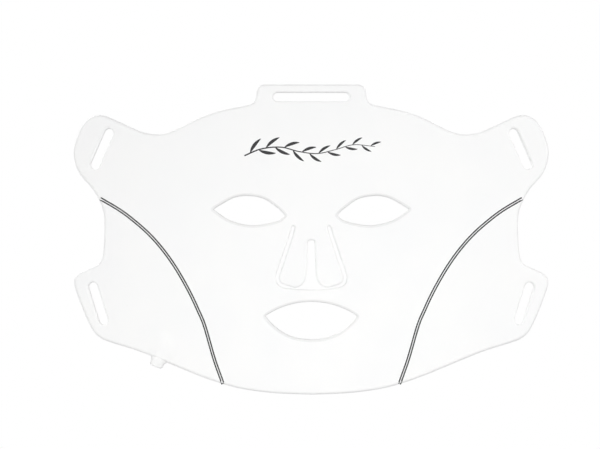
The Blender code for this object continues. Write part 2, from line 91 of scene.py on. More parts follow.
# %% Outlines of the sheet and its pocket
TAB_TOP_Z = 102.2
TAB_CORNER_CENTRE = (31.0, 97.2)
TAB_CORNER = 5.0
OUTLINE_HALF = [
    (37.2, 91.6), (41.5, 88.7), (59.5, 85.0), (73.0, 80.4), (86.0, 74.0), (95.0, 70.2), (102.5, 69.3),
    (112.0, 71.0), (125.5, 77.0), (134.0, 80.8), (141.0, 82.0), (148.4, 78.2), (153.5, 69.5), (156.6, 57.0),
    (153.2, 44.3), (143.2, 32.0), (137.6, 20.5), (136.3, 10.0), (137.0, -7.0), (139.3, -15.3), (146.0, -19.2),
    (153.4, -22.8), (156.3, -29.0), (151.1, -44.5), (144.4, -59.2), (138.5, -65.2), (131.0, -68.2),
    (112.2, -74.2), (89.0, -83.7), (72.6, -90.4), (58.7, -95.1), (45.5, -98.5), (25.0, -101.2), (0.0, -102.3),
]
POCKET_HALF = [
    (0.0, 84.4), (30.0, 83.4), (59.0, 81.2), (73.0, 76.8), (87.0, 70.0), (96.0, 66.8), (104.0, 65.8),
    (114.0, 66.4), (122.5, 65.0), (128.0, 59.5), (130.0, 50.0), (130.2, 0.0), (130.0, -42.0), (127.5, -54.0),
    (121.0, -64.0), (110.5, -70.8), (88.0, -80.4), (71.5, -87.0), (57.8, -91.7), (44.8, -95.0),
    (24.8, -97.9), (0.0, -99.0),
]

# %% Outlines of the holes
EYE_UPPER = [(17.2, 15.9), (21.2, 20.0), (31.2, 26.8), (42.4, 28.8), (52.0, 27.1), (64.6, 20.0)]
EYE_LOWER = [(64.6, 20.0), (53.5, 12.6), (38.8, 9.4), (23.0, 12.0), (17.2, 15.9)]
MOUTH_CORNER = (30.3, -50.5)
MOUTH_TOP_Z = -41.1
MOUTH_LOWER_HALF = [(30.3, -50.5), (25.2, -56.2), (17.6, -61.8), (9.0, -65.0), (0.0, -66.0)]
NOSE_SLOT_HALF = [(0.0, -0.5), (1.6, -0.8), (2.3, -2.2)]
FLAP_FOOT = [
    (2.5, -8.0), (2.9, -20.0), (3.6, -25.6), (5.4, -29.0), (8.2, -31.2), (11.0, -31.7), (15.4, -30.6),
]
FLAP_SIDE = [(19.6, -28.9), (21.3, -26.2), (20.7, -22.9), (17.6, -14.0), (14.2, -3.6), (12.2, 2.8)]
SLIT_END = [(11.2, 6.4), (11.0, 8.0), (11.7, 8.9), (12.7, 8.5), (13.3, 6.4)]
NOSE_OUTER = [
    (15.4, -0.4), (19.0, -11.0), (22.2, -20.2), (23.4, -25.0), (22.4, -29.0), (18.6, -31.6),
    (9.5, -32.8), (0.0, -33.2),
]
NOSE_COLLAR_TOP = [(0.0, 9.4), (11.6, 9.4), (12.9, 7.4)]
FLAP_BEND = np.array([(2.3, -1.2), (11.6, 8.2)])
SIDE_SLOT_WIDTH = 6.0
UPPER_SLOT = {"centre": (138.0, 59.7), "length": 28.8, "width": SIDE_SLOT_WIDTH, "tilt": -23.6}
LOWER_SLOT = {"centre": (140.4, -42.2), "length": 29.0, "width": SIDE_SLOT_WIDTH, "tilt": 17.5}
TOP_SLOT = {"centre": (0.0, 94.0), "length": 50.4, "width": 5.8, "tilt": 90.0}

# %% [markdown]
# ## Paths
# A smooth outline can be drawn with a Bezier curve object, but a lesson in numpy keeps every point in an
# array, so that the same line can be offset, measured and meshed. Catmull-Rom passes through all the
# listed points, which are easy to take from a drawing. The lines are then spaced evenly, because even
# spacing makes even faces, and softened a little, because no mould has a corner without a radius.

# %% Helpers for paths
SHARPEST_COSINE = 0.6
CATMULL_STEPS = 8


def smooth(points, steps=CATMULL_STEPS):
    """Catmull-Rom: between two points a cubic whose slope at each is half the chord of its neighbours."""
    p = np.array(points, float)
    ends = np.vstack([2 * p[0] - p[1], p, 2 * p[-1] - p[-2]])
    before, start, end, after = (a[:, None] for a in (ends[:-3], ends[1:-2], ends[2:-1], ends[3:]))
    t = (np.arange(steps) / steps)[None, :, None]
    curve = 0.5 * (
        2 * start
        + (end - before) * t
        + (2 * before - 5 * start + 4 * end - after) * t**2
        + (3 * start - before - 3 * end + after) * t**3
    )
    return np.vstack([curve.reshape(-1, p.shape[1]), p[-1:]])


def arc(centre, radius, start, end, steps):
    """Centre plus radius times (cos, sin) of an angle that runs evenly from start to end, in degrees."""
    angle = np.radians(np.linspace(start, end, steps + 1))
    return np.array(centre) + radius * np.column_stack([np.cos(angle), np.sin(angle)])


def flipped(path):
    """The same path with x negated, running the other way."""
    return (np.array(path) * [-1, 1])[::-1]


def whole(half):
    """A closed symmetric loop from a half that starts and ends on the centre line."""
    return np.vstack([half, flipped(half)[1:-1]])


def spaced(path, step, closed=True):
    """Points a constant arc length apart: x and z are read off as functions of the summed length."""
    line = np.vstack([path, path[:1]]) if closed else np.array(path)
    length = np.concatenate([[0.0], np.cumsum(np.linalg.norm(np.diff(line, axis=0), axis=1))])
    count = max(int(round(length[-1] / step)), 3)
    at = np.linspace(0.0, length[-1], count + 1)
    even = np.column_stack([np.interp(at, length, axis) for axis in line.T])
    return even[:-1] if closed else even


def softened(loop, passes=2):
    """Each pass moves a point to a quarter of each neighbour plus half of itself."""
    for _ in range(passes):
        loop = (np.roll(loop, 1, axis=0) + 2 * loop + np.roll(loop, -1, axis=0)) / 4
    return loop


def anticlockwise(loop):
    """The loop turned, if it must be, so that its shoelace area is positive."""
    x, z = loop.T
    return loop if np.sum(x * np.roll(z, -1) - np.roll(x, -1) * z) > 0 else loop[::-1]


def grown(loop, distance):
    """Each point moved along the bisector of its two edge normals, by distance over the bisector's cosine."""
    ahead = np.roll(loop, -1, axis=0) - loop
    ahead = ahead / np.linalg.norm(ahead, axis=1)[:, None]
    normal = np.column_stack([ahead[:, 1], -ahead[:, 0]])
    both = normal + np.roll(normal, 1, axis=0)
    both = both / np.linalg.norm(both, axis=1)[:, None]
    cosine = np.clip(np.sum(both * normal, axis=1), SHARPEST_COSINE, 1.0)
    return loop + distance * both / cosine[:, None]


def slot_loop(centre, length, width, tilt):
    """Two half circles of the slot's width joined by straights, then turned by the tilt."""
    reach = (length - width) / 2
    loop = np.vstack([arc((0, reach), width / 2, 0, 180, 16), arc((0, -reach), width / 2, 180, 360, 16)])
    c, s = math.cos(math.radians(tilt)), math.sin(math.radians(tilt))
    return loop @ np.array([[c, -s], [s, c]]) + np.array(centre)


# %% Every loop of the sheet
LOOP_STEP = 0.8
FINE_STEP = 0.5
NOSE_STEP = 0.4


def sheet_loop():
    """The tab's top, its round corner and the curve through the outline's points, mirrored."""
    corner = arc(TAB_CORNER_CENTRE, TAB_CORNER, 90, 0, 8)
    side = smooth([tuple(corner[-1]), *OUTLINE_HALF])
    return whole(np.vstack([[(0.0, TAB_TOP_Z)], corner, side[1:]]))


def mouth_loop():
    """A circular arc through both corners and the middle of the upper lip, and a curve below."""
    x, z = MOUTH_CORNER
    rise = MOUTH_TOP_Z - z
    radius = (x**2 + rise**2) / (2 * rise)
    reach = math.degrees(math.asin(x / radius))
    upper = arc((0, MOUTH_TOP_Z - radius), radius, 90, 90 - reach, 24)
    return whole(np.vstack([upper[:-1], smooth(MOUTH_LOWER_HALF)]))


def tidy(loop, step=FINE_STEP):
    return anticlockwise(softened(spaced(loop, step)))


nose_half = smooth([*NOSE_SLOT_HALF, *FLAP_FOOT, *FLAP_SIDE, *SLIT_END, *NOSE_OUTER])
eye = np.vstack([smooth(EYE_UPPER), smooth(EYE_LOWER)[1:-1]])
outline = tidy(sheet_loop(), LOOP_STEP)
pocket = tidy(whole(smooth(POCKET_HALF)), LOOP_STEP)
eyes = [tidy(eye), tidy(flipped(eye))]
mouth = tidy(mouth_loop())
nose = tidy(whole(nose_half), NOSE_STEP)
nose_collar = tidy(whole(np.vstack([NOSE_COLLAR_TOP, smooth(NOSE_OUTER)])))
side_slots = [slot_loop(**slot) for slot in (UPPER_SLOT, LOWER_SLOT)]
slots = [tidy(slot_loop(**TOP_SLOT))] + [tidy(s) for side in side_slots for s in (side, flipped(side))]
face_holes = [*eyes, mouth, nose]
collars = [*eyes, mouth, nose_collar]
print(f"outline of {len(outline)} points, {len(face_holes)} holes in the face, {len(slots)} strap slots")

# %% [markdown]
# ## Meshes from surfaces
# Every layer is the same kind of thing: walls that follow loops, and flat or gently raised faces between
# them. The walls are a profile carried along a loop, which gives neat even rows of quads round each edge.
# The faces between the loops are filled by a constrained Delaunay triangulation with extra points inside,
# so that the sheet has enough points to bend. A Boolean on a curve's fill could make the same solid, but
# its faces would be long slivers that crease when the sheet bends.

# %% Helpers for surfaces
LATTICE_REACH = (160.0, 106.0)
ROW_RATIO = 0.866
BORDER_CLEARANCE = 0.9
EXTRA_CLEARANCE = 0.45
WELD = 1e-4
BATCH = 1000


def quads(rows, columns, wrap=True):
    """Faces of a grid: each joins point (i, j) to its neighbours at j + 1 and in row i + 1."""
    index = np.arange(rows * columns).reshape(rows, columns)
    right = np.roll(index, -1, axis=1) if wrap else index[:, 1:]
    left = index if wrap else index[:, :-1]
    square = [left[:-1], right[:-1], right[1:], left[1:]]
    return np.stack([part.reshape(-1) for part in square], axis=1)


def inside(points, loops):
    """Even-odd rule: a point is inside when a line to its right crosses the loops an odd number of times."""
    edges = np.vstack([np.hstack([loop, np.roll(loop, -1, axis=0)]) for loop in loops])
    x0, z0, x1, z1 = edges[edges[:, 1] != edges[:, 3]].T
    slope = (x1 - x0) / (z1 - z0)
    odd = []
    for part in np.array_split(points, max(len(points) // BATCH, 1)):
        x, z = part[:, :1], part[:, 1:]
        crosses = ((z0 > z) != (z1 > z)) & (x < x0 + (z - z0) * slope)
        odd.append(crosses.sum(axis=1) % 2 == 1)
    return np.concatenate(odd)


def clear_of(points, others, distance):
    """The points that lie at least this far from all the others."""
    keep = []
    for part in np.array_split(points, max(len(points) // BATCH, 1)):
        gap = ((part[:, None] - others[None]) ** 2).sum(axis=2).min(axis=1)
        keep.append(part[gap > distance**2])
    return np.vstack(keep)


def lattice(spacing):
    """Points on rows that are shifted by half a step every other row."""
    wide, high = LATTICE_REACH
    row_step = spacing * ROW_RATIO
    x, z = np.meshgrid(np.arange(-wide, wide + 1, spacing), np.arange(-high, high + 1, row_step))
    x = x + (np.arange(len(x)) % 2 * spacing / 2)[:, None]
    return np.column_stack([x.ravel(), z.ravel()])


class Shell:
    """Gathers surfaces whose borders share points, and welds them into one closed mesh."""

    def __init__(self):
        self.points, self.faces, self.finishes, self.count = [], [], [], 0

    def add(self, points, faces, finish=0):
        """Finish is the place of the faces' material in the piece's list."""
        self.points.append(points)
        self.faces += [[i + self.count for i in face] for face in np.asarray(faces).tolist()]
        self.finishes += [finish] * len(faces)
        self.count += len(points)

    def wall(self, loop, profile, finish=0):
        """A profile of (distance outwards, depth) carried along a loop. Returns its first and last ring."""
        rings = [np.insert(grown(loop, out), 1, depth, axis=1) for out, depth in profile]
        self.add(np.vstack(rings), quads(len(rings), len(loop)), finish)
        return rings[0][:, [0, 2]], rings[-1][:, [0, 2]]

    def fill(self, loops, depth, spacing=3.0, extra=None, height=None):
        """Triangles between loops, over the loops' own points and a lattice, at depth plus a height. Points
        are rounded as the triangulation rounds them, so that both agree on which side is inside."""
        loops = [np.float32(loop).astype(float) for loop in loops]
        border = np.vstack(loops)
        inner = lattice(spacing)
        if extra is not None:
            inner = np.vstack([clear_of(inner, extra, spacing * EXTRA_CLEARANCE), extra])
        inner = clear_of(inner[inside(inner, loops)], border, BORDER_CLEARANCE)
        flat = np.float32(np.vstack([border, inner])).astype(float)
        starts = np.cumsum([0] + [len(loop) for loop in loops])
        edges = [(a + i, a + (i + 1) % (b - a)) for a, b in zip(starts, starts[1:]) for i in range(b - a)]
        found, _, faces, *_ = delaunay_2d_cdt([Vector(p) for p in flat], edges, [], 0, 1e-6)
        if len(found) != len(flat):
            raise ValueError("two loops of a fill cross each other")
        faces = np.array(faces)
        faces = faces[inside(flat[faces].mean(axis=1), loops)]
        level = np.full(len(flat), float(depth))
        if height is not None:
            level[len(border):] += height(inner)
        self.add(np.column_stack([flat[:, 0], level, flat[:, 1]]), faces)

    def mesh(self):
        """One bmesh in millimetres, welded, with its faces turned outwards."""
        work = bmesh.new()
        drawn = bpy.data.meshes.new("drawn")
        drawn.from_pydata(np.vstack(self.points), [], self.faces)
        drawn.polygons.foreach_set("material_index", self.finishes)
        work.from_mesh(drawn)
        bpy.data.meshes.remove(drawn)
        bmesh.ops.remove_doubles(work, verts=work.verts, dist=WELD)
        bmesh.ops.recalc_face_normals(work, faces=work.faces)
        return work


# %% [markdown]
# ## Finishes
# Moulded silicone is nearly matt. The mould's spark-eroded face leaves an even grain of a few tenths of a
# millimetre, the batch is never quite one shade, and lint sticks to it. White skin, clear skin, wire sleeve
# and LED bodies all show the same effect at different strengths, so it is one node group with its own
# values in each material. Metal gets a second group, for turning marks. Painting such detail on a picture
# would blur close up, while these patterns are computed from the object's own coordinates.

# %% Helpers for nodes
MIX_COLOUR_LOW, MIX_COLOUR_HIGH, MIX_COLOUR_OUT = 6, 7, 2


def node(tree, kind, sockets, **settings):
    """A node with its settings, and each named socket either given a value or joined to another's output."""
    made = tree.nodes.new(kind)
    for name, value in settings.items():
        setattr(made, name, value)
    for name, value in sockets.items():
        if isinstance(value, bpy.types.NodeSocket):
            tree.links.new(value, made.inputs[name])
        else:
            made.inputs[name].default_value = value
    return made


def new_group(name, inputs, outputs):
    """A node group with named sockets, given as (name, type, default), and its two end nodes."""
    tree = bpy.data.node_groups.new(name, "ShaderNodeTree")
    for label, kind, default in inputs:
        made = tree.interface.new_socket(label, in_out="INPUT", socket_type="NodeSocket" + kind)
        if default is not None:
            made.default_value = default
    for label, kind in outputs:
        tree.interface.new_socket(label, in_out="OUTPUT", socket_type="NodeSocket" + kind)
    return tree, tree.nodes.new("NodeGroupInput"), tree.nodes.new("NodeGroupOutput")


def mixed(tree, factor, low, high):
    """A colour between two others."""
    made = node(tree, "ShaderNodeMix", {"Factor": factor}, data_type="RGBA")
    for place, value in ((MIX_COLOUR_LOW, low), (MIX_COLOUR_HIGH, high)):
        if isinstance(value, bpy.types.NodeSocket):
            tree.links.new(value, made.inputs[place])
        else:
            made.inputs[place].default_value = value
    return made.outputs[MIX_COLOUR_OUT]


def ranged(tree, value, low, high, to_low, to_high):
    """A value moved from one range to another, held inside it."""
    sockets = {"Value": value, "From Min": low, "From Max": high, "To Min": to_low, "To Max": to_high}
    return node(tree, "ShaderNodeMapRange", sockets).outputs["Result"]


# %% The moulded surface group
moulded, ends_in, ends_out = new_group(
    "moulded_surface",
    [
        ("Vector", "Vector", None),
        ("Grain", "Float", 3200.0),
        ("Colour", "Color", (0.9, 0.9, 0.9, 1.0)),
        ("Second colour", "Color", (0.88, 0.88, 0.88, 1.0)),
        ("Smoothest", "Float", 0.45),
        ("Roughest", "Float", 0.6),
        ("Lint", "Float", 0.1),
    ],
    [("Colour", "Color"), ("Roughness", "Float"), ("Height", "Float")],
)
where = ends_in.outputs["Vector"]
fine = {"Vector": where, "Scale": ends_in.outputs["Grain"], "Detail": 3.0}
grain = node(moulded, "ShaderNodeTexNoise", fine)
broad = {"Vector": where, "Scale": 28.0, "Detail": 2.0, "Roughness": 0.4}
cloud = node(moulded, "ShaderNodeTexNoise", broad)
lint = node(moulded, "ShaderNodeTexVoronoi", {"Vector": where, "Scale": 95.0, "Randomness": 1.0})
speck = ranged(moulded, lint.outputs["Distance"], 0.02, 0.05, 1.0, 0.0)
faint = node(moulded, "ShaderNodeMath", {0: speck, 1: ends_in.outputs["Lint"]}, operation="MULTIPLY")
shade = ranged(moulded, cloud.outputs[0], 0.35, 0.65, 0.0, 1.0)
base = mixed(moulded, shade, ends_in.outputs["Colour"], ends_in.outputs["Second colour"])
tinted = mixed(moulded, faint.outputs[0], base, (0.35, 0.34, 0.33, 1.0))
both = node(moulded, "ShaderNodeMath", {0: grain.outputs[0], 1: cloud.outputs[0]}, operation="ADD")
polish = node(
    moulded,
    "ShaderNodeMapRange",
    {
        "Value": both.outputs[0],
        "From Min": 0.7,
        "From Max": 1.3,
        "To Min": ends_in.outputs["Smoothest"],
        "To Max": ends_in.outputs["Roughest"],
    },
)
moulded.links.new(tinted, ends_out.inputs["Colour"])
moulded.links.new(polish.outputs[0], ends_out.inputs["Roughness"])
moulded.links.new(grain.outputs[0], ends_out.inputs["Height"])
print("group", moulded.name, "with", len(moulded.nodes), "nodes")

# %% The metal surface group
worked, ends_in, ends_out = new_group(
    "worked_metal",
    [
        ("Vector", "Vector", None),
        ("Marks", "Float", 2500.0),
        ("Colour", "Color", (0.8, 0.8, 0.8, 1.0)),
        ("Tarnish", "Color", (0.5, 0.48, 0.45, 1.0)),
    ],
    [("Colour", "Color"), ("Roughness", "Float"), ("Height", "Float")],
)
where = ends_in.outputs["Vector"]
fine = {"Vector": where, "Scale": ends_in.outputs["Marks"], "Detail": 4.0}
marks = node(worked, "ShaderNodeTexNoise", fine)
dull = node(worked, "ShaderNodeTexNoise", {"Vector": where, "Scale": 420.0, "Detail": 3.0})
patch = ranged(worked, dull.outputs[0], 0.5, 0.72, 0.0, 0.7)
stained = mixed(worked, patch, ends_in.outputs["Colour"], ends_in.outputs["Tarnish"])
worked.links.new(stained, ends_out.inputs["Colour"])
worked.links.new(ranged(worked, dull.outputs[0], 0.3, 0.7, 0.2, 0.42), ends_out.inputs["Roughness"])
worked.links.new(marks.outputs[0], ends_out.inputs["Height"])
print("group", worked.name, "with", len(worked.nodes), "nodes")

# %% Materials from the groups


def new_material(name, tree_group, values, relief, **constants):
    """A Principled surface whose colour, roughness and bump come from a group on Object coordinates."""
    made = bpy.data.materials.new(name)
    made.use_nodes = True
    tree = made.node_tree
    shader = tree.nodes["Principled BSDF"]
    place = tree.nodes.new("ShaderNodeTexCoord")
    finish = node(tree, "ShaderNodeGroup", {}, node_tree=tree_group)
    tree.links.new(place.outputs["Object"], finish.inputs["Vector"])
    for label, value in values.items():
        finish.inputs[label].default_value = value
    tree.links.new(finish.outputs["Colour"], shader.inputs["Base Color"])
    tree.links.new(finish.outputs["Roughness"], shader.inputs["Roughness"])
    bump = node(tree, "ShaderNodeBump", {"Height": finish.outputs["Height"], "Distance": relief})
    tree.links.new(bump.outputs["Normal"], shader.inputs["Normal"])
    for label, value in constants.items():
        shader.inputs[label.replace("_", " ")].default_value = value
    return made


def paint(red, green, blue):
    return (red, green, blue, 1.0)


white_silicone = new_material(
    "white_silicone",
    moulded,
    {"Colour": paint(0.905, 0.905, 0.9), "Second colour": paint(0.895, 0.897, 0.897), "Lint": 0.05},
    relief=0.00004,
    Specular_IOR_Level=0.35,
)
# A darker grey copy of the white silicone for the walls of the eyes and the mouth: painted shade for the
# shadow inside those holes.
rim_shade_silicone = new_material(
    "rim_shade_silicone",
    moulded,
    {"Colour": paint(0.83, 0.83, 0.825), "Second colour": paint(0.815, 0.817, 0.817), "Lint": 0.1},
    relief=0.00004,
    Specular_IOR_Level=0.35,
)
wire_red = new_material(
    "wire_red",
    moulded,
    {"Colour": paint(0.52, 0.03, 0.025), "Second colour": paint(0.45, 0.025, 0.02), "Smoothest": 0.3},
    relief=0.00002,
)
wire_black = new_material(
    "wire_black",
    moulded,
    {"Colour": paint(0.02, 0.02, 0.022), "Second colour": paint(0.03, 0.03, 0.03), "Smoothest": 0.3},
    relief=0.00002,
)
print_ink = new_material(
    "print_ink",
    moulded,
    {
        "Colour": paint(0.022, 0.022, 0.024),
        "Second colour": paint(0.032, 0.032, 0.034),
        "Grain": 5200.0,
        "Smoothest": 0.5,
        "Roughest": 0.7,
    },
    relief=0.00002,
)
led_housing = new_material(
    "led_housing",
    moulded,
    {"Colour": paint(0.86, 0.85, 0.82), "Second colour": paint(0.82, 0.8, 0.76), "Grain": 6000.0},
    relief=0.00001,
)
led_gel = new_material(
    "led_gel",
    moulded,
    {
        "Colour": paint(0.86, 0.56, 0.1),
        "Second colour": paint(0.8, 0.46, 0.06),
        "Grain": 9000.0,
        "Smoothest": 0.12,
        "Roughest": 0.25,
        "Lint": 0.0,
    },
    relief=0.000005,
    Coat_Weight=0.5,
)
plated_brass = new_material(
    "plated_brass",
    worked,
    {"Colour": paint(0.78, 0.77, 0.74), "Tarnish": paint(0.5, 0.47, 0.42)},
    relief=0.00001,
    Metallic=1.0,
)
copper = new_material(
    "copper",
    worked,
    {"Colour": paint(0.83, 0.47, 0.3), "Tarnish": paint(0.6, 0.3, 0.17), "Marks": 5000.0},
    relief=0.00001,
    Metallic=1.0,
)
print("materials:", ", ".join(m.name for m in bpy.data.materials))

# %% [markdown]
# The back skin is the same silicone without the white pigment. It is milky, and clearer on the low lenses
# over the LEDs. Glass-like transmission would be truer, but it is slow and noisy for so many small parts
# behind it, so the surface lets part of the light straight through, and more of it on the lenses.
# The circuit's white solder mask is thin: the copper lines under it show as faint warm bands.

# %% Clear silicone and the circuit's mask
LENS_ALPHA = 0.06
MILKY_ALPHA = 0.28
TRACK_PITCH = 1.6

clear_silicone = new_material(
    "clear_silicone",
    moulded,
    {
        "Colour": paint(0.82, 0.84, 0.85),
        "Second colour": paint(0.79, 0.81, 0.82),
        "Smoothest": 0.22,
        "Roughest": 0.38,
        "Lint": 0.12,
    },
    relief=0.00003,
    Coat_Weight=0.15,
)
tree = clear_silicone.node_tree
lens_mask = node(tree, "ShaderNodeAttribute", {}, attribute_name="lens")
see_through = ranged(tree, lens_mask.outputs["Fac"], 0.0, 1.0, MILKY_ALPHA, LENS_ALPHA)
tree.links.new(see_through, tree.nodes["Principled BSDF"].inputs["Alpha"])

solder_mask = new_material(
    "solder_mask",
    moulded,
    {
        "Colour": paint(0.86, 0.85, 0.81),
        "Second colour": paint(0.84, 0.83, 0.78),
        "Grain": 4200.0,
        "Smoothest": 0.35,
        "Roughest": 0.5,
    },
    relief=0.00001,
)
tree = solder_mask.node_tree
shader = tree.nodes["Principled BSDF"]
plain = shader.inputs["Base Color"].links[0].from_socket
place = next(n for n in tree.nodes if n.type == "TEX_COORD")
bands = node(
    tree,
    "ShaderNodeTexWave",
    {"Vector": place.outputs["Object"], "Scale": math.pi / 10 / (TRACK_PITCH * MM), "Distortion": 0.0},
    bands_direction="Z",
)
line = ranged(tree, bands.outputs["Fac"], 0.55, 0.75, 0.0, 0.35)
tree.links.new(mixed(tree, line, plain, paint(0.74, 0.6, 0.42)), shader.inputs["Base Color"])
print("clear silicone and solder mask made")

# %% [markdown]
# ## From a welded shell to pieces
# The sheet bends along lines, and each bending piece may cross one line only. So a whole layer is welded
# first, then cut by upright planes where it stays flat at every pose, and each cut is closed. Cutting a
# finished shell keeps the neighbours' faces exactly in line, which separate models would not.

# %% Helpers for pieces
SIDE_CUT_X = 60.0
OUTER_CUT_X = 87.0
TAB_CUT_Z = 88.0


def cut_flat(work, point, normal):
    """Keeps what lies behind a plane and closes the cut with flat faces."""
    parts = [*work.verts, *work.edges, *work.faces]
    cut = {"geom": parts, "dist": 1e-5, "plane_co": point, "plane_no": normal, "clear_outer": True}
    bmesh.ops.bisect_plane(work, **cut)
    close_openings(work)


def close_openings(work):
    rim = [edge for edge in work.edges if edge.is_boundary]
    caps = bmesh.ops.holes_fill(work, edges=rim, sides=0)["faces"]
    bmesh.ops.triangulate(work, faces=caps)


def part_of(work, planes):
    """A copy of a shell, cut by each (point, outward normal)."""
    piece = work.copy()
    for point, normal in planes:
        cut_flat(piece, point, normal)
    return piece


def finished(work, name, materials, sharp=40.0):
    """Turns a shell in millimetres into an object in metres, shaded smooth between its sharp edges."""
    bmesh.ops.recalc_face_normals(work, faces=work.faces)
    bmesh.ops.scale(work, vec=(MM, MM, MM), verts=work.verts)
    mesh = bpy.data.meshes.new(name)
    work.to_mesh(mesh)
    work.free()
    mesh.shade_smooth()
    mesh.set_sharp_from_angle(angle=math.radians(sharp))
    for material in materials:
        mesh.materials.append(material)
    item = bpy.data.objects.new(name, mesh)
    bpy.context.scene.collection.objects.link(item)
    return item


def bend_cheek(item):
    """For a piece that lies across the cheek's bend line; it only bakes the placement into the mesh and sets
    up no bending.
    """
    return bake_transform(item)


def bend_temple(item):
    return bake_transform(item)


def cut_layer(work, name, replaced, materials):
    """The centre, both cheeks and both temples of a layer; only the centre is put on a body, the face panel.
    The shell is used up.
    """
    centre = part_of(work, [((sign * SIDE_CUT_X, 0, 0), (sign, 0, 0)) for sign in (-1, 1)])
    made = [finished(centre, f"{name}_centre", materials)]
    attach(made[0], "face_panel")
    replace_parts(made[0], f"{replaced}_face")
    for side, sign in (("left", -1), ("right", 1)):
        inner, outer = sign * SIDE_CUT_X, sign * OUTER_CUT_X
        cheek = part_of(work, [((inner, 0, 0), (-sign, 0, 0)), ((outer, 0, 0), (sign, 0, 0))])
        cheek = bend_cheek(finished(cheek, f"{name}_{side}_cheek", materials))
        temple = part_of(work, [((outer, 0, 0), (-sign, 0, 0))])
        temple = bend_temple(finished(temple, f"{name}_{side}_temple", materials))
        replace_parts(cheek, f"{replaced}_{side}_cheek")
        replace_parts(temple, f"{replaced}_{side}_temple")
        made += [cheek, temple]
    work.free()
    print(name, "in", len(made), "pieces,", sum(len(item.data.polygons) for item in made), "faces")
    return made


# %% [markdown]
# ## The swelling round the jack
# On the lower left edge the sheet thickens round the charging jack, softly, because silicone flows into
# such a form without a seam. Pushing the layers' points outwards by a smooth field keeps each layer whole.

# %% The jack's own directions and the swelling field
JACK_EDGE = np.array([-100.7, -79.3])
JACK_TILT = math.radians(23.0)
JACK_OUT = np.array([-math.sin(JACK_TILT), -math.cos(JACK_TILT)])
JACK_ASIDE = np.array([math.cos(JACK_TILT), -math.sin(JACK_TILT)])
JACK_Y = -3.0
MIDDLE_Y = -2.5
SWELL_RATIO = 1.44
SWELL_ALONG = (-19.0, -9.0)
SWELL_ACROSS = (2.2, 8.0)


def eased(value, low, high):
    """0 below low, 1 above high, and 3t^2 - 2t^3 between them."""
    t = np.clip((value - low) / (high - low), 0.0, 1.0)
    return t * t * (3 - 2 * t)


def swell(work):
    """Scales depths about the jack's axis by a bump: flat along it, fading to both sides and inwards."""
    points = np.array([v.co for v in work.verts])
    flat = points[:, [0, 2]] - JACK_EDGE
    along, across = flat @ JACK_OUT, np.abs(flat @ JACK_ASIDE)
    bump = eased(along, *SWELL_ALONG) * (1 - eased(across, *SWELL_ACROSS))
    raised = JACK_Y + (points[:, 1] - MIDDLE_Y) * SWELL_RATIO
    points[:, 1] += bump * (raised - points[:, 1])
    for vertex, place in zip(work.verts, points):
        vertex.co = place


# %% [markdown]
# ## The white front skin
# One moulding: 1.6 mm of white silicone over the circuit, full thickness at the outline, the strap tabs
# and a collar round each hole. Its front edges are well rounded, since hands pick it up by them, and its
# back edges only just. A fine parting line runs round every edge at mid-thickness, where the two mould
# halves met. The walls round the eyes and the mouth take a darker grey material of their own, which is
# painted shade for the shadow that falls inside those holes.

# %% Edge profiles and the front skin's shell
OUTLINE_ROUND = 1.9
HOLE_ROUND = 1.4
REAR_ROUND = 0.5
FLAT_BAND = 0.3
POCKET_LIP = 0.25
PARTING_Y = -2.4
PARTING_RIDGE = 0.07
PARTING_HALF_WIDTH = 0.12


def rounded_edge(toward, front, rear, front_radius, rear_radius):
    """A quarter circle at the front, a straight wall with a fine ridge, and a quarter circle at the rear.
    Toward is the side of the loop that the material lies on: 1 outside it, -1 inside it."""
    turn = np.radians(np.linspace(0, 90, 8))
    near = [(front_radius * (1 - math.sin(a)), front + front_radius * (1 - math.cos(a))) for a in turn]
    far = [(rear_radius * (1 - math.cos(a)), rear - rear_radius * (1 - math.sin(a))) for a in turn[::2]]
    before, behind = PARTING_Y - PARTING_HALF_WIDTH, PARTING_Y + PARTING_HALF_WIDTH
    ridge = [(0.0, before), (-PARTING_RIDGE, PARTING_Y), (0.0, behind)]
    ends = (front_radius + FLAT_BAND, front), (rear_radius + FLAT_BAND / 2, rear)
    profile = [ends[0], *near, *(ridge if front < PARTING_Y < rear - rear_radius else []), *far, ends[1]]
    return [(toward * inset, depth) for inset, depth in profile]


front = Shell()
front_rings, rear_rings = [], []
edges = [(outline, -1, OUTLINE_ROUND)] + [(hole, 1, HOLE_ROUND) for hole in face_holes + slots]
# The eye and mouth walls take the darker material: painted shade.
shade_painted_holes = [*eyes, mouth]
for loop, toward, radius in edges:
    finish = int(any(loop is hole for hole in shade_painted_holes))
    first, last = front.wall(loop, rounded_edge(toward, FRONT_Y, 0.0, radius, REAR_ROUND), finish)
    front_rings.append(first)
    rear_rings.append(last)
floor_rings = []
for loop, toward in [(pocket, 1)] + [(grown(collar, HOLE_RIM), -1) for collar in collars]:
    lip = [(toward * POCKET_LIP * (1 - math.cos(a)), -POCKET_LIP * (1 - math.sin(a))) for a in (1.57, 0.8, 0)]
    first, last = front.wall(loop, [*lip, (0.0, -1.0), (0.0, POCKET_Y)])
    rear_rings.append(first)
    floor_rings.append(last)
front.fill(front_rings, FRONT_Y)
front.fill(rear_rings, 0.0)
front.fill(floor_rings, POCKET_Y)
skin = front.mesh()
swell(skin)
print("front skin:", len(skin.faces), "faces, open edges:", sum(e.is_boundary for e in skin.edges))

# %% [markdown]
# The two nose flaps join the skin only along a slanting line between the slot and a slit, where the real
# flap bends as a living hinge does. Each is cut off there as a piece of its own. Only the faces near
# the line are cut, and the flap is then found as the island of faces that nothing joins any more.

# %% Take the nose flaps off the skin
FLAP_REACH = (-1.5, 13.1)
FLAP_CUT_BAND = 6.0
FLAP_MIDDLE = np.array([11.0, -16.0])


def island(work, seed):
    """All faces that can be reached from one face across shared edges."""
    found, ahead = {seed}, [seed]
    while ahead:
        for edge in ahead.pop().edges:
            for face in edge.link_faces:
                if face not in found:
                    found.add(face)
                    ahead.append(face)
    return found


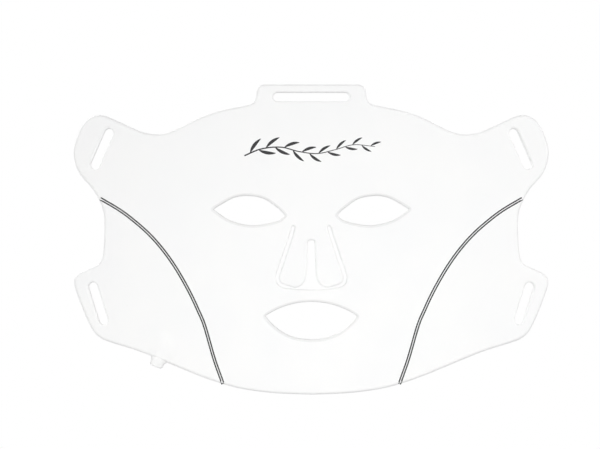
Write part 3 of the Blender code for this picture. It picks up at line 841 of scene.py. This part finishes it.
def take_flap(work, side):
    """Cuts the shell along the bend line, and moves the flap's island to a shell of its own."""
    mirror = np.array([-1 if side == "left" else 1, 1])
    start, end = FLAP_BEND * mirror
    along = (end - start) / np.linalg.norm(end - start)
    down = np.array([along[1], -along[0]]) * mirror[0]
    near = []
    for face in work.faces:
        centre = face.calc_center_median()
        offset = np.array([centre.x, centre.z]) - start
        if FLAP_REACH[0] < offset @ along < FLAP_REACH[1] and abs(offset @ down) < FLAP_CUT_BAND:
            near.append(face)
    parts = {*near, *(e for f in near for e in f.edges), *(v for f in near for v in f.verts)}
    plane = {"plane_co": (start[0], 0, start[1]), "plane_no": (down[0], 0, down[1])}
    cut = bmesh.ops.bisect_plane(work, geom=list(parts), dist=1e-5, **plane)["geom_cut"]
    bmesh.ops.split_edges(work, edges=[e for e in cut if isinstance(e, bmesh.types.BMEdge)])
    middle = Vector((FLAP_MIDDLE[0] * mirror[0], FRONT_Y, FLAP_MIDDLE[1]))
    seed = min(work.faces, key=lambda face: (face.calc_center_median() - middle).length)
    flap_faces = island(work, seed)
    work.faces.index_update()
    taken = {face.index for face in flap_faces}
    if len(taken) > len(work.faces) / 4:
        raise ValueError("the flap still joins the skin")
    flap = work.copy()
    bmesh.ops.delete(flap, geom=[f for f in flap.faces if f.index not in taken], context="FACES")
    bmesh.ops.delete(work, geom=list(flap_faces), context="FACES")
    close_openings(flap)
    close_openings(work)
    item = finished(flap, f"nose_flap_{side}", [white_silicone])
    body = side + "_nose_flap"
    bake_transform(item)
    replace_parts(item, body)
    print(item.name, len(item.data.polygons), "faces")


for side in ("left", "right"):
    take_flap(skin, side)

# %% The strap tab and the panels of the front skin
tab = part_of(skin, [((0, 0, TAB_CUT_Z), (0, 0, -1))])
tab = finished(tab, "strap_tab", [white_silicone])
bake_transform(tab)
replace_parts(tab, "top_strap_tab")
cut_flat(skin, (0, 0, TAB_CUT_Z), (0, 0, 1))
# The second material, on the eye and mouth walls, is painted shade.
cut_layer(skin, "white_skin", "front_skin", [white_silicone, rim_shade_silicone])

# %% [markdown]
# ## The LED rows
# 140 LEDs sit on narrow carrier strips, 14 mm apart. The same numbers place the packages, the lenses
# above them and the copper loops beside them, so they come before all three.

# %% Where the LEDs are
LED_PITCH = 14.0
LED_LENGTH = 3.5
LED_WIDTH = 2.8
MIDDLE_STRIPS = [
    ("forehead_top", (0.0, 73.0), 8, False),
    ("forehead_middle", (0.0, 58.0), 8, False),
    ("forehead_bottom", (0.0, 43.0), 8, False),
    ("nose_bridge", (0.0, 24.0), 2, True),
    ("chin_upper", (0.0, -76.0), 9, False),
    ("chin_lower", (0.0, -89.0), 7, False),
]
SIDE_STRIPS = [
    ("brow", (64.0, 56.0), 3, True, "bend"),
    ("under_eye", (45.5, -3.0), 4, False, "bend"),
    ("beside_nose", (45.5, -19.0), 3, False, "bend"),
    ("smile", (52.5, -35.5), 3, False, "bend"),
    ("beside_mouth", (52.5, -53.0), 2, False, "bend"),
    ("cheek_inner", (79.0, -4.0), 10, True, "bend"),
    ("cheek_middle", (92.0, 2.0), 9, True, "cheek"),
    ("cheek_outer", (105.0, 2.0), 8, True, "cheek"),
    ("temple", (126.4, 3.0), 7, True, "temple"),
]


def led_places(middle, count, upright):
    """Centres a pitch apart, spread evenly either side of the strip's middle."""
    steps = (np.arange(count) - (count - 1) / 2) * LED_PITCH
    return np.array(middle) + steps[:, None] * (np.array([0, 1]) if upright else np.array([1, 0]))


strips = [(name, middle, count, upright, "face") for name, middle, count, upright in MIDDLE_STRIPS]
for side, sign in (("left", -1), ("right", 1)):
    for name, (x, z), count, upright, place in SIDE_STRIPS:
        strips.append((f"{side}_{name}", (sign * x, z), count, upright, place))
leds = np.vstack([led_places(middle, count, upright) for _, middle, count, upright, _ in strips])
print(len(strips), "strips,", len(leds), "LEDs")

# %% [markdown]
# ## The clear rear skin
# It fills the pocket's mouth flush with the back, with a fine joint where the two silicones meet. Over
# each LED it rises to a low lens, a raised cosine, which spreads the light and keeps the LED off the
# wearer's skin. Rings of points round each LED are handed to the triangulation, so that every lens has the
# same even faces.

# %% Rear skin
LENS_RADIUS = 3.1
LENS_HEIGHT = 0.55
LENS_SPACING = 4.0
HIDDEN_SPACING = 5.0
LENS_RINGS = (0.7, 1.4, 2.0, 2.6, 3.12)
JOINT_WIDTH = 0.06
REAR_SKIN_ROUND = (0.12, 0.22)


def lens(points):
    """Half of one plus the cosine of pi times the distance to the nearest LED over the lens's radius."""
    gap = np.sqrt(((points[:, None] - leds[None]) ** 2).sum(axis=2).min(axis=1))
    return LENS_HEIGHT / 2 * (1 + np.cos(math.pi * np.minimum(gap / LENS_RADIUS, 1.0)))


rings = [arc((0, 0), radius, 0, 330, 11) for radius in LENS_RINGS]
lens_points = (leds[:, None] + np.vstack([[(0, 0)], *rings])[None]).reshape(-1, 2)
rear = Shell()
rear_fronts, rear_backs = [], []
for loop, toward in [(grown(pocket, -JOINT_WIDTH), -1)] + [
    (grown(collar, HOLE_RIM + JOINT_WIDTH), 1) for collar in collars
]:
    first, last = rear.wall(loop, rounded_edge(toward, REAR_SKIN_Y, 0.0, *REAR_SKIN_ROUND))
    rear_fronts.append(first)
    rear_backs.append(last)
rear.fill(rear_fronts, REAR_SKIN_Y, HIDDEN_SPACING)
rear.fill(rear_backs, 0.0, LENS_SPACING, extra=lens_points, height=lens)
shell = rear.mesh()
swell(shell)
print("rear skin:", len(shell.faces), "faces, open edges:", sum(e.is_boundary for e in shell.edges))
for item in cut_layer(shell, "clear_skin", "rear_skin", [clear_silicone]):
    points = np.array([v.co for v in item.data.vertices]) / MM
    raised = lens(points[:, [0, 2]]) / LENS_HEIGHT * (points[:, 1] > REAR_SKIN_Y / 2)
    item.data.attributes.new("lens", "FLOAT", "POINT").data.foreach_set("value", raised.astype(np.float32))

# %% [markdown]
# ## The flexible circuit
# A quarter of a millimetre of polyimide with a white mask. It follows the pocket's shape a little inside
# its walls, and is cut into the same pieces as the skins.

# %% Flexible circuit
FLEX_INSET = 0.8
flex = Shell()
flex_edges = [grown(pocket, -FLEX_INSET)] + [grown(collar, HOLE_RIM + FLEX_INSET) for collar in collars]
ends = [flex.wall(loop, [(0.0, FLEX_Y), (0.0, FLEX_Y + FLEX_THICKNESS)]) for loop in flex_edges]
flex.fill([first for first, _ in ends], FLEX_Y, HIDDEN_SPACING)
flex.fill([last for _, last in ends], FLEX_Y + FLEX_THICKNESS, HIDDEN_SPACING)
shell = flex.mesh()
swell(shell)
cut_layer(shell, "circuit", "flex_circuit", [solder_mask])

# %% [markdown]
# ## LED strips
# Each LED is a moulded cup about 3.5 by 2.8 mm, with amber gel over its chip and a tinned pad at each
# end. A package is a stack of rings that run from a rounded rectangle at the foot to a circle in the cup,
# so one function of angle and height makes it, and the same points are set down at every LED. Instancing
# would save memory, but each strip is built as one mesh; those on the face panel, a cheek or a temple ride on
# that body.

# %% Helpers for bands and plates


def band(shell, path, half_width, low, high, finish=0, closed=False, bevel=0.8):
    """A low trapezium carried along a path: points beside the path by the half width, in its side
    direction, at the depth low, and by bevel times that at the depth high."""
    ahead = (np.roll(path, -1, axis=0) - np.roll(path, 1, axis=0)) if closed else np.gradient(path, axis=0)
    ahead = ahead / np.linalg.norm(ahead, axis=1)[:, None]
    aside = np.column_stack([ahead[:, 1], -ahead[:, 0]]) * np.reshape(half_width, (-1, 1))
    columns = []
    for share, depth in ((-1.0, low), (-bevel, high), (bevel, high), (1.0, low)):
        flat = path + share * aside
        columns.append(np.column_stack([flat[:, 0], np.broadcast_to(depth, len(path)), flat[:, 1]]))
    points = np.stack(columns, axis=1)
    if closed:
        points = np.concatenate([points, points[:1]])
    shell.add(points.reshape(-1, 3), quads(len(points), 4), finish)
    if not closed:
        shell.add(points[0], [[0, 1, 2, 3]], finish)
        shell.add(points[-1], [[3, 2, 1, 0]], finish)


def plate(shell, loop, low, high, finish=0):
    """A loop repeated at two depths, joined by a wall and closed by a flat face at each."""
    count = len(loop)
    points = np.vstack([np.insert(loop, 1, depth, axis=1) for depth in (low, high)])
    shell.add(points, quads(2, count), finish)
    shell.add(points, [list(range(count)), list(range(count, 2 * count))], finish)


def rounded_box(length, width, square, steps):
    """A superellipse: cosine and sine each raised to two over square, which is 2 for a plain ellipse."""
    angle = np.linspace(0, 2 * math.pi, steps, endpoint=False)
    wave = np.column_stack([np.cos(angle), np.sin(angle)])
    return np.sign(wave) * np.abs(wave) ** (2 / square) * [length / 2, width / 2]


# %% One LED package
PACKAGE_STEPS = 16
PACKAGE_RINGS = [
    (LED_LENGTH, LED_WIDTH, 10, 0.0),
    (LED_LENGTH, LED_WIDTH, 10, 0.7),
    (LED_LENGTH - 0.16, LED_WIDTH - 0.16, 10, LED_HEIGHT),
    (2.3, 2.3, 2, LED_HEIGHT),
    (2.0, 2.0, 2, 0.52),
    (1.0, 1.0, 2, 0.58),
]
CUP_RING = 4


def package_points():
    """Rings of a superellipse whose sides, squareness and height change from ring to ring, and two poles."""
    stack = [np.insert(rounded_box(a, b, k, PACKAGE_STEPS), 1, h, axis=1) for a, b, k, h in PACKAGE_RINGS]
    return np.vstack([*stack, [(0, 0, 0), (0, 0.6, 0)]])


def package_faces():
    """The rings' quads, then a fan of triangles to each pole. The gel is what lies inside the cup's ring."""
    count, rings = PACKAGE_STEPS, len(PACKAGE_RINGS)
    sides = quads(rings, count)
    ring = np.arange(count)
    foot = np.column_stack([np.roll(ring, -1), ring, np.full(count, count * rings)])
    top_ring = ring + count * (rings - 1)
    top = np.column_stack([top_ring, np.roll(top_ring, -1), np.full(count, count * rings + 1)])
    split = count * CUP_RING
    return [(sides[:split], 1), (foot, 1), (sides[split:], 2), (top, 2)]


def placed(points, middle, upright):
    """Local (along, height, across) turned onto the strip and moved to its middle, above the circuit."""
    along, height, across = points.T
    x, z = (-across, along) if upright else (along, across)
    return np.column_stack([x + middle[0], height + STRIP_Y, z + middle[1]])


print(len(package_points()), "points for each package")

# %% Build the strips
TRACK_OFFSET = 2.5
TRACK_WIDTH = 0.45
TRACK_STEP = 1.5
TRACK_RAISE = 0.05
TRACK_DEPTH = 0.08
CARRIER_MARGIN = 0.3
PAD = {"out": 2.05, "length": 0.7, "width": 1.7, "height": 0.1, "sink": 0.02}
RESISTOR = {"length": 1.6, "width": 0.8, "height": 0.45, "end": 0.3, "sink": 0.01}


def flat_loop(loop, middle, upright):
    turned = loop[:, ::-1] * [-1, 1] if upright else loop
    return turned + np.array(middle)


def add_chip_resistor(shell, middle, upright):
    """A black body between two tinned ends, halfway between the first two LEDs."""
    half, end = RESISTOR["length"] / 2, RESISTOR["end"]
    spans = [(-half, -half + end, 3), (-half + end, half - end, 4), (half - end, half, 3)]
    for low, high, finish in spans:
        box = rounded_box(high - low, RESISTOR["width"], 12, 8) + [(low + high) / 2, 0]
        foot, top = (STRIP_Y + STRIP_BASE + step for step in (-RESISTOR["sink"], RESISTOR["height"]))
        plate(shell, flat_loop(box, middle, upright), foot, top, finish)


def build_strip(name, middle, count, upright, place):
    shell = Shell()
    length = (count - 1) * LED_PITCH + 2 * LED_LENGTH
    carrier = rounded_box(length, LED_WIDTH + CARRIER_MARGIN, 14, 40)
    plate(shell, flat_loop(carrier, middle, upright), STRIP_Y, STRIP_Y + STRIP_BASE, 0)
    track = slot_loop((0, 0), length + 2 * TRACK_OFFSET, 2 * TRACK_OFFSET, 90)
    track_top = FLEX_Y + FLEX_THICKNESS + TRACK_RAISE
    track_line = flat_loop(spaced(track, TRACK_STEP), middle, upright)
    band(shell, track_line, TRACK_WIDTH / 2, track_top - TRACK_DEPTH, track_top, 3, closed=True)
    points = package_points() + [0, STRIP_BASE, 0]
    for centre in led_places(middle, count, upright):
        for faces, finish in package_faces():
            shell.add(placed(points, centre, upright), faces, finish)
        for side in (-1, 1):
            pad = rounded_box(PAD["length"], PAD["width"], 8, 12) + [side * PAD["out"], 0]
            pad_top = STRIP_Y + STRIP_BASE + PAD["height"]
            pad_foot = pad_top - PAD["height"] - PAD["sink"]
            plate(shell, flat_loop(pad, centre, upright), pad_foot, pad_top, 3)
    first, second = led_places(middle, count, upright)[:2]
    add_chip_resistor(shell, (first + second) / 2, upright)
    finishes = [solder_mask, led_housing, led_gel, copper, wire_black]
    item = finished(shell.mesh(), "leds_" + name, finishes, sharp=30.0)
    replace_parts(item, "led_strip_" + name)
    side = name.split("_")[0]
    if place == "bend":
        return bend_cheek(item)
    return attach(item, {"face": "face_panel", "cheek": side + "_cheek", "temple": side + "_temple"}[place])


made = [build_strip(*strip) for strip in strips]
print(len(made), "strips,", sum(len(item.data.polygons) for item in made), "faces")

# %% [markdown]
# ## Printed lines on the front
# Two dark contour lines run side by side from the notch under each upper tab to the chin's edge, and a
# sprig of leaves crosses the forehead. They are printed in thick ink that stands a few hundredths of a
# millimetre proud, so they are thin bevelled bands laid on the skin rather than a picture on it. Near the
# outline the skin rounds away, and the ends of the lines follow it down.

# %% The twin contour lines
CONTOUR = [
    (138.9, 27.0), (125.5, 19.0), (114.8, 10.8), (105.8, 2.6), (97.5, -6.9), (90.4, -16.8), (84.4, -26.7),
    (79.1, -36.6), (74.5, -46.5), (70.2, -56.8), (63.9, -78.5), (58.0, -95.2),
]
LINE_OFFSET = 0.71
LINE_HALF_WIDTH = 0.5
LINE_STEP = 1.2
INK_RAISE = 0.05
INK_SINK = 0.04
STEEPEST_MARGIN = 0.05


def distance_to(points, loop):
    """To each edge of the loop, the distance from the point to its nearest place on it; then the least."""
    start, step = loop[None], (np.roll(loop, -1, axis=0) - loop)[None]
    offset = points[:, None] - start
    share = np.clip((offset * step).sum(axis=2) / (step**2).sum(axis=2), 0.0, 1.0)
    return np.linalg.norm(offset - share[..., None] * step, axis=2).min(axis=1)


def front_surface(points):
    """The front face's depth: level, then a quarter circle down within its radius of the outline."""
    deepest = OUTLINE_ROUND - STEEPEST_MARGIN
    over = np.clip(OUTLINE_ROUND - distance_to(points, outline), 0.0, deepest)
    return FRONT_Y + OUTLINE_ROUND - np.sqrt(OUTLINE_ROUND**2 - over**2)


def ink(shell, path, half_width):
    surface = front_surface(path)
    band(shell, path, half_width, surface + INK_SINK, surface - INK_RAISE, bevel=0.82)


def crossing(path, x):
    """The path split where it crosses an upright line, with the crossing point in both halves."""
    i = int(np.argmax(np.abs(path[:, 0]) < x))
    a, b = path[i - 1], path[i]
    meet = a + (b - a) * (x - abs(a[0])) / (abs(b[0]) - abs(a[0]))
    return np.vstack([path[:i], meet]), np.vstack([meet, path[i:]])


for side, sign in (("left", -1), ("right", 1)):
    line = spaced(smooth(CONTOUR), LINE_STEP, closed=False) * [sign, 1]
    ahead = np.gradient(line, axis=0)
    ahead = ahead / np.linalg.norm(ahead, axis=1)[:, None]
    aside = np.column_stack([ahead[:, 1], -ahead[:, 0]]) * LINE_OFFSET
    upper, lower = Shell(), Shell()
    for offset in (-aside, aside):
        for shell, path in zip((upper, lower), crossing(line + offset, OUTER_CUT_X)):
            ink(shell, path, LINE_HALF_WIDTH)
    upper = finished(upper.mesh(), f"contour_{side}_upper", [print_ink])
    lower = finished(lower.mesh(), f"contour_{side}_lower", [print_ink])
    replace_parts(bend_temple(upper), f"contour_inlay_{side}_temple")
    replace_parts(bend_cheek(lower), f"contour_inlay_{side}_cheek", f"contour_inlay_{side}_chin")
    print(f"{side} contour, {len(line)} points long")

# %% [markdown]
# The sprig is generic decoration. Its stem is a slow wave that thins towards the tip, and slender leaves
# leave it in turn above and below, each a short curve whose width follows a sine raised to a power.

# %% The forehead sprig
STEM = [
    (-44.0, 55.2), (-33.0, 59.6), (-20.0, 60.8), (-8.0, 57.9), (4.0, 56.6), (16.0, 59.2), (28.0, 62.4),
    (42.0, 61.2),
]
STEM_STEP = 1.0
STEM_HALF_WIDTH = (0.52, 0.2)
LEAVES = 15
LEAF_SPAN = (0.05, 0.97)
LEAF_POINTS = 15
LEAF_TIP = 0.05
LEAF_FULLNESS = 0.8
LEAF_LENGTH = (12.5, 7.5)
LEAF_HALF_WIDTH = 1.2
LEAF_LEAN = math.radians(44.0)
LEAF_CURL = math.radians(34.0)


def leaf(root, angle, length, turn):
    """A path whose direction turns evenly from angle by turn, and a half width of sin(pi t) to a power."""
    t = np.linspace(0.0, 1.0, LEAF_POINTS)
    heading = angle + turn * t
    step = np.column_stack([np.cos(heading), np.sin(heading)]) * length / (len(t) - 1)
    path = np.array(root) + np.vstack([[(0.0, 0.0)], np.cumsum(step[:-1], axis=0)])
    swelling = np.sin(math.pi * t) ** LEAF_FULLNESS
    return path, LEAF_TIP + LEAF_HALF_WIDTH * swelling * (length / LEAF_LENGTH[0])


sprig = Shell()
stem = spaced(smooth(STEM), STEM_STEP, closed=False)
ink(sprig, stem, np.linspace(*STEM_HALF_WIDTH, len(stem)))
slope = np.gradient(stem, axis=0)
for number, share in enumerate(np.linspace(*LEAF_SPAN, LEAVES)):
    at = int(share * (len(stem) - 1))
    up = 1 if number % 2 == 0 else -1
    heading = math.atan2(slope[at, 1], slope[at, 0]) + up * LEAF_LEAN
    size = LEAF_LENGTH[0] + share * (LEAF_LENGTH[1] - LEAF_LENGTH[0])
    ink(sprig, *leaf(stem[at], heading, size, -up * LEAF_CURL))
sprig = finished(sprig.mesh(), "forehead_sprig", [print_ink])
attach(sprig, "face_panel")
print("sprig with", LEAVES, "leaves,", len(sprig.data.polygons), "faces")

# %% [markdown]
# ## The charging jack
# A small barrel jack leaves the lower left edge, inside a soft white boss. All its round parts are
# profiles turned about the jack's own axis. The boss is a stack of ovals along that axis: out to a rounded
# lip, then back down the bore.

# %% Helpers along the jack's axis
BOSS_OUT = 4.8
BOSS_IN = 13.0
BOSS_HALF = (4.5, 3.42)
BOSS_LIP = (1.5, 1.2, 0.5)
DOME = 2.0
ROOT_FLARE = 1.6
FLARE_REACH = 3.0
FLARE_MIDDLE = -1.0
FLARE_LENGTH = 9.0
FLARE_POWER = 6
BORE_RADIUS = 2.82
BORE_CHAMFER = 0.1
BORE_GAP = 0.15
JACK_RADIUS = 2.7
JACK_BORE = 2.1
JACK_LENGTH = 14.5
JACK_BACK_WALL = 2.0
PIN_RADIUS = 0.75
PIN_SETBACK = 1.5
FOOT_GAP = 0.3
JACK_STEPS = 40


def on_jack(along, across, towards):
    """A point at these distances out of the jack's mouth, to its side and towards the wearer."""
    flat = JACK_EDGE + np.multiply.outer(along, JACK_OUT) + np.multiply.outer(across, JACK_ASIDE)
    return np.column_stack([flat[:, 0], JACK_Y + np.asarray(towards), flat[:, 1]])


def turned(shell, stations, finish=0):
    """Ovals of (distance along the axis, half width, half depth), joined in turn and closed at both ends."""
    angle = np.linspace(0, 2 * math.pi, JACK_STEPS, endpoint=False)
    ones = np.ones(JACK_STEPS)
    rings = [on_jack(a * ones, w * np.cos(angle), d * np.sin(angle)) for a, w, d in stations]
    shell.add(np.vstack(rings), quads(len(rings), JACK_STEPS), finish)
    for ring in (rings[0], rings[-1]):
        shell.add(ring, [list(range(JACK_STEPS))], finish)


def rounded_end(at, step, aside, down, turns):
    """Stations of a rounded end of the boss, drawn in from its full width and depth."""
    wide, deep = BOSS_HALF
    ease = [(1 - math.sin(a), 1 - math.cos(a)) for a in turns]
    return [(at + step * along, wide - aside * inwards, deep - down * inwards) for along, inwards in ease]


def boss_stations():
    """A domed inner end, a flare where it leaves the sheet, a quarter circle over the lip, then the bore."""
    wide, deep = BOSS_HALF
    turns = np.radians(np.linspace(0, 90, 7))
    dome = rounded_end(-BOSS_IN, DOME, DOME, DOME, turns[::-1])
    out = np.linspace(-FLARE_REACH, FLARE_REACH, 9)
    share = np.cos(math.pi * (out - FLARE_MIDDLE) / FLARE_LENGTH) ** FLARE_POWER
    flare = [(a, wide + ROOT_FLARE * part, deep) for a, part in zip(out, share)]
    back, aside, down = BOSS_LIP
    over = rounded_end(BOSS_OUT, -back, aside, down, turns)
    bore = [
        (BOSS_OUT, BORE_RADIUS + BORE_CHAMFER),
        (BOSS_OUT - BORE_CHAMFER, BORE_RADIUS),
        (BOSS_OUT - JACK_LENGTH - BORE_GAP, BORE_RADIUS),
    ]
    return [*dome, *flare, *over, *[(a, radius, radius) for a, radius in bore]]


# %% Boss, barrel, pin and spring
def jack_piece(shell, name, material, slot, *replaced):
    item = finished(shell.mesh(), name, [material])
    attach(item, "left_cheek")
    if replaced:
        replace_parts(item, *replaced)
    print(name, len(item.data.polygons), "faces")


boss = Shell()
turned(boss, boss_stations())
jack_piece(boss, "jack_boss", white_silicone, "silicone_white")

mouth_at = BOSS_OUT
back_at = BOSS_OUT - JACK_LENGTH
floor_at = back_at + JACK_BACK_WALL
barrel_profile = [
    (back_at, JACK_RADIUS - 0.3), (back_at + 0.3, JACK_RADIUS), (mouth_at - 1.2, JACK_RADIUS),
    (mouth_at - 1.1, JACK_RADIUS - 0.12), (mouth_at - 0.8, JACK_RADIUS - 0.12), (mouth_at - 0.7, JACK_RADIUS),
    (mouth_at - 0.2, JACK_RADIUS), (mouth_at, JACK_RADIUS - 0.18), (mouth_at, JACK_BORE + 0.2),
    (mouth_at - 0.25, JACK_BORE), (floor_at, JACK_BORE),
]
barrel = Shell()
turned(barrel, [(a, r, r) for a, r in barrel_profile])
jack_piece(barrel, "jack_sleeve", plated_brass, "jack_metal", "jack_barrel")

tip_at = mouth_at - PIN_SETBACK
turn = np.radians([0, 30, 55, 75, 86])
round_tip = [(tip_at - PIN_RADIUS * (1 - math.sin(a)), PIN_RADIUS * math.cos(a)) for a in turn]
pin = Shell()
turned(pin, [(a, r, r) for a, r in [(floor_at + FOOT_GAP, PIN_RADIUS), *round_tip]])
jack_piece(pin, "jack_pin", plated_brass, "jack_metal", "jack_centre_pin")

CONTACT_LENGTH = 6.5
CONTACT_HALF_WIDTH = 0.8
CONTACT_LEVEL = 1.7
CONTACT_THICKNESS = 0.2
CONTACT_BOW = 0.22
CONTACT_STEPS = 16
t = np.linspace(0.0, 1.0, CONTACT_STEPS)
run = floor_at + FOOT_GAP + CONTACT_LENGTH * t
bow = CONTACT_LEVEL - CONTACT_BOW * np.sin(math.pi * t)
spring = Shell()
beside = np.full(CONTACT_STEPS, CONTACT_HALF_WIDTH)
sides = [(-beside, -0.5), (beside, -0.5), (beside, 0.5), (-beside, 0.5)]
corners = [on_jack(run, across, bow + share * CONTACT_THICKNESS) for across, share in sides]
strip = np.stack(corners, axis=1).reshape(-1, 3)
spring.add(strip, quads(CONTACT_STEPS, 4))
spring.add(strip[:4], [[0, 1, 2, 3]])
spring.add(strip[-4:], [[0, 1, 2, 3]])
jack_piece(spring, "jack_spring", plated_brass, "jack_metal", "jack_spring_contact")

# %% [markdown]
# Two thin leads run from the back of the jack to the circuit. Each is a circle carried along a curve that
# rises over the circuit's edge and lies down on it.

# %% Leads
WIRE_RADIUS = 0.4
WIRE_APART = 2.4
LEAD_STEPS = [(0.0, 0.0), (1.5, 0.15), (2.5, 0.475), (3.5, 0.95), (5.5, 0.95), (8.5, 0.95)]


def tube(shell, path, aside, radius, steps=14):
    """At each point a circle in the plane of two directions, one fixed and one square to it and the path."""
    ahead = np.gradient(path, axis=0)
    ahead = ahead / np.linalg.norm(ahead, axis=1)[:, None]
    up = np.cross(ahead, aside)
    angle = np.linspace(0, 2 * math.pi, steps, endpoint=False)
    ring = np.cos(angle)[None, :, None] * aside + np.sin(angle)[None, :, None] * up[:, None]
    size = np.broadcast_to(radius, len(path))[:, None, None]
    points = (path[:, None] + size * ring).reshape(-1, 3)
    shell.add(points, quads(len(path), steps))
    shell.add(points[:steps], [list(range(steps))])
    shell.add(points[-steps:], [list(range(steps))])


LEADS = [("positive", -WIRE_APART / 2, wire_red), ("negative", WIRE_APART / 2, wire_black)]
for name, offset, sleeve in LEADS:
    inwards, rise = smooth(LEAD_STEPS, 6).T
    route = on_jack(back_at - FOOT_GAP - inwards, np.full(len(inwards), offset), rise)
    sleeve_radius = np.full(len(route), WIRE_RADIUS)
    sleeve_radius[[0, -1]] *= 0.75
    lead = Shell()
    tube(lead, route, np.array([JACK_ASIDE[0], 0.0, JACK_ASIDE[1]]), sleeve_radius)
    jack_piece(lead, "wire_" + name, sleeve, "wire_sleeve", "lead_" + name)

# %% [markdown]
# ## Floor, light and camera
# The mask is shown as for a catalogue: face on, against white. The floor and the surroundings are white to
# the camera, and dimmer as a source of light, so that the white object still shows its rounded edges. A
# large lamp up to the right lights the front, so edges that face left and down come out a little darker.
# One lamp at each side lights the outer edges, a small one close to the front lifts the middle of the face,
# and one behind lights the back of the sheet.

# %% Floor and surroundings
FLOOR_Z = -0.32
FLOOR_REACH = 8.0
SURROUND_LIGHT = 0.438


def white_to_camera(tree, dim, output):
    """Plain white where the camera looks at it, and the dimmer shader for every other ray."""
    white = node(tree, "ShaderNodeEmission", {"Color": paint(1, 1, 1), "Strength": 1.0})
    if tree.type == "SHADER" and output.bl_idname == "ShaderNodeOutputWorld":
        white = node(tree, "ShaderNodeBackground", {"Color": paint(1, 1, 1), "Strength": 1.0})
    rays = tree.nodes.new("ShaderNodeLightPath")
    mix = tree.nodes.new("ShaderNodeMixShader")
    tree.links.new(rays.outputs["Is Camera Ray"], mix.inputs[0])
    tree.links.new(dim.outputs[0], mix.inputs[1])
    tree.links.new(white.outputs[0], mix.inputs[2])
    tree.links.new(mix.outputs[0], output.inputs["Surface"])


world = bpy.data.worlds.new("white_studio")
world.use_nodes = True
bpy.context.scene.world = world
tree = world.node_tree
tree.nodes["Background"].inputs["Strength"].default_value = SURROUND_LIGHT
tree.nodes["Background"].inputs["Color"].default_value = paint(1.0, 1.0, 1.0)
white_to_camera(tree, tree.nodes["Background"], tree.nodes["World Output"])

floor_paint = bpy.data.materials.new("pale_floor")
floor_paint.use_nodes = True
tree = floor_paint.node_tree
tree.nodes["Principled BSDF"].inputs["Base Color"].default_value = paint(0.5, 0.5, 0.5)
tree.nodes["Principled BSDF"].inputs["Roughness"].default_value = 0.8
white_to_camera(tree, tree.nodes["Principled BSDF"], tree.nodes["Material Output"])
floor_mesh = bpy.data.meshes.new("floor")
square = [(-1, -1), (1, -1), (1, 1), (-1, 1)]
floor_corners = [(x * FLOOR_REACH, y * FLOOR_REACH, FLOOR_Z) for x, y in square]
floor_mesh.from_pydata(floor_corners, [], [(0, 1, 2, 3)])
floor_mesh.materials.append(floor_paint)
floor = bpy.data.objects.new("floor", floor_mesh)
bpy.context.scene.collection.objects.link(floor)
floor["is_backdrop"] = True
print("floor at", FLOOR_Z)

# %% Lamps
LAMPS = [
    ("key", (0.75, -1.25, 1.0), 1.1, 8.5),
    ("left_side", (-1.3, -0.45, 0.15), 0.8, 4.8),
    ("right_side", (0.75, -0.35, 0.2), 0.5, 1.3),
    ("near_fill", (0.0, -0.5, -0.1), 0.35, 0.92),
    ("back", (-0.9, 1.3, 0.9), 1.0, 20.0),
]


def lamp(name, place, size, power):
    """A square area lamp that faces the middle of the mask."""
    light = bpy.data.lights.new(name, "AREA")
    light.shape = "SQUARE"
    light.size = size
    light.energy = power
    item = bpy.data.objects.new(name, light)
    item.location = place
    item.rotation_euler = (-Vector(place)).to_track_quat("-Z", "Y").to_euler()
    item.visible_camera = False
    bpy.context.scene.collection.objects.link(item)


for settings in LAMPS:
    lamp(*settings)
print(len(LAMPS), "lamps")

# %% Camera
CAMERA_DISTANCE = 0.9
VIEW_WIDTH = 0.3949
VIEW_CENTRE = (-0.0074, 0.0099)
SENSOR = 36.0

camera = bpy.data.cameras.new("camera")
camera.sensor_width = SENSOR
camera.lens = SENSOR * CAMERA_DISTANCE / VIEW_WIDTH
camera.clip_end = 30.0
viewer = bpy.data.objects.new("camera", camera)
viewer.location = (VIEW_CENTRE[0], FRONT_Y * MM - CAMERA_DISTANCE, VIEW_CENTRE[1])
viewer.rotation_euler = (math.pi / 2, 0.0, 0.0)
bpy.context.scene.collection.objects.link(viewer)
bpy.context.scene.camera = viewer
bpy.context.scene.view_settings.view_transform = "Standard"
print(f"lens {camera.lens:.0f} mm")

# %% [markdown]
# ## The size
# How far the finished surfaces reach beyond the CAD model's box on each side, in millimetres. The
# finished surfaces have to stay inside the CAD model's box, with a little room for soft parts.

# %% How far the surfaces grew
low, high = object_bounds()
before, after = [*low, *cad_high], [*cad_low, *high]
print("grew by", [round((b - a) / MM, 2) for a, b in zip(before, after)], "mm")
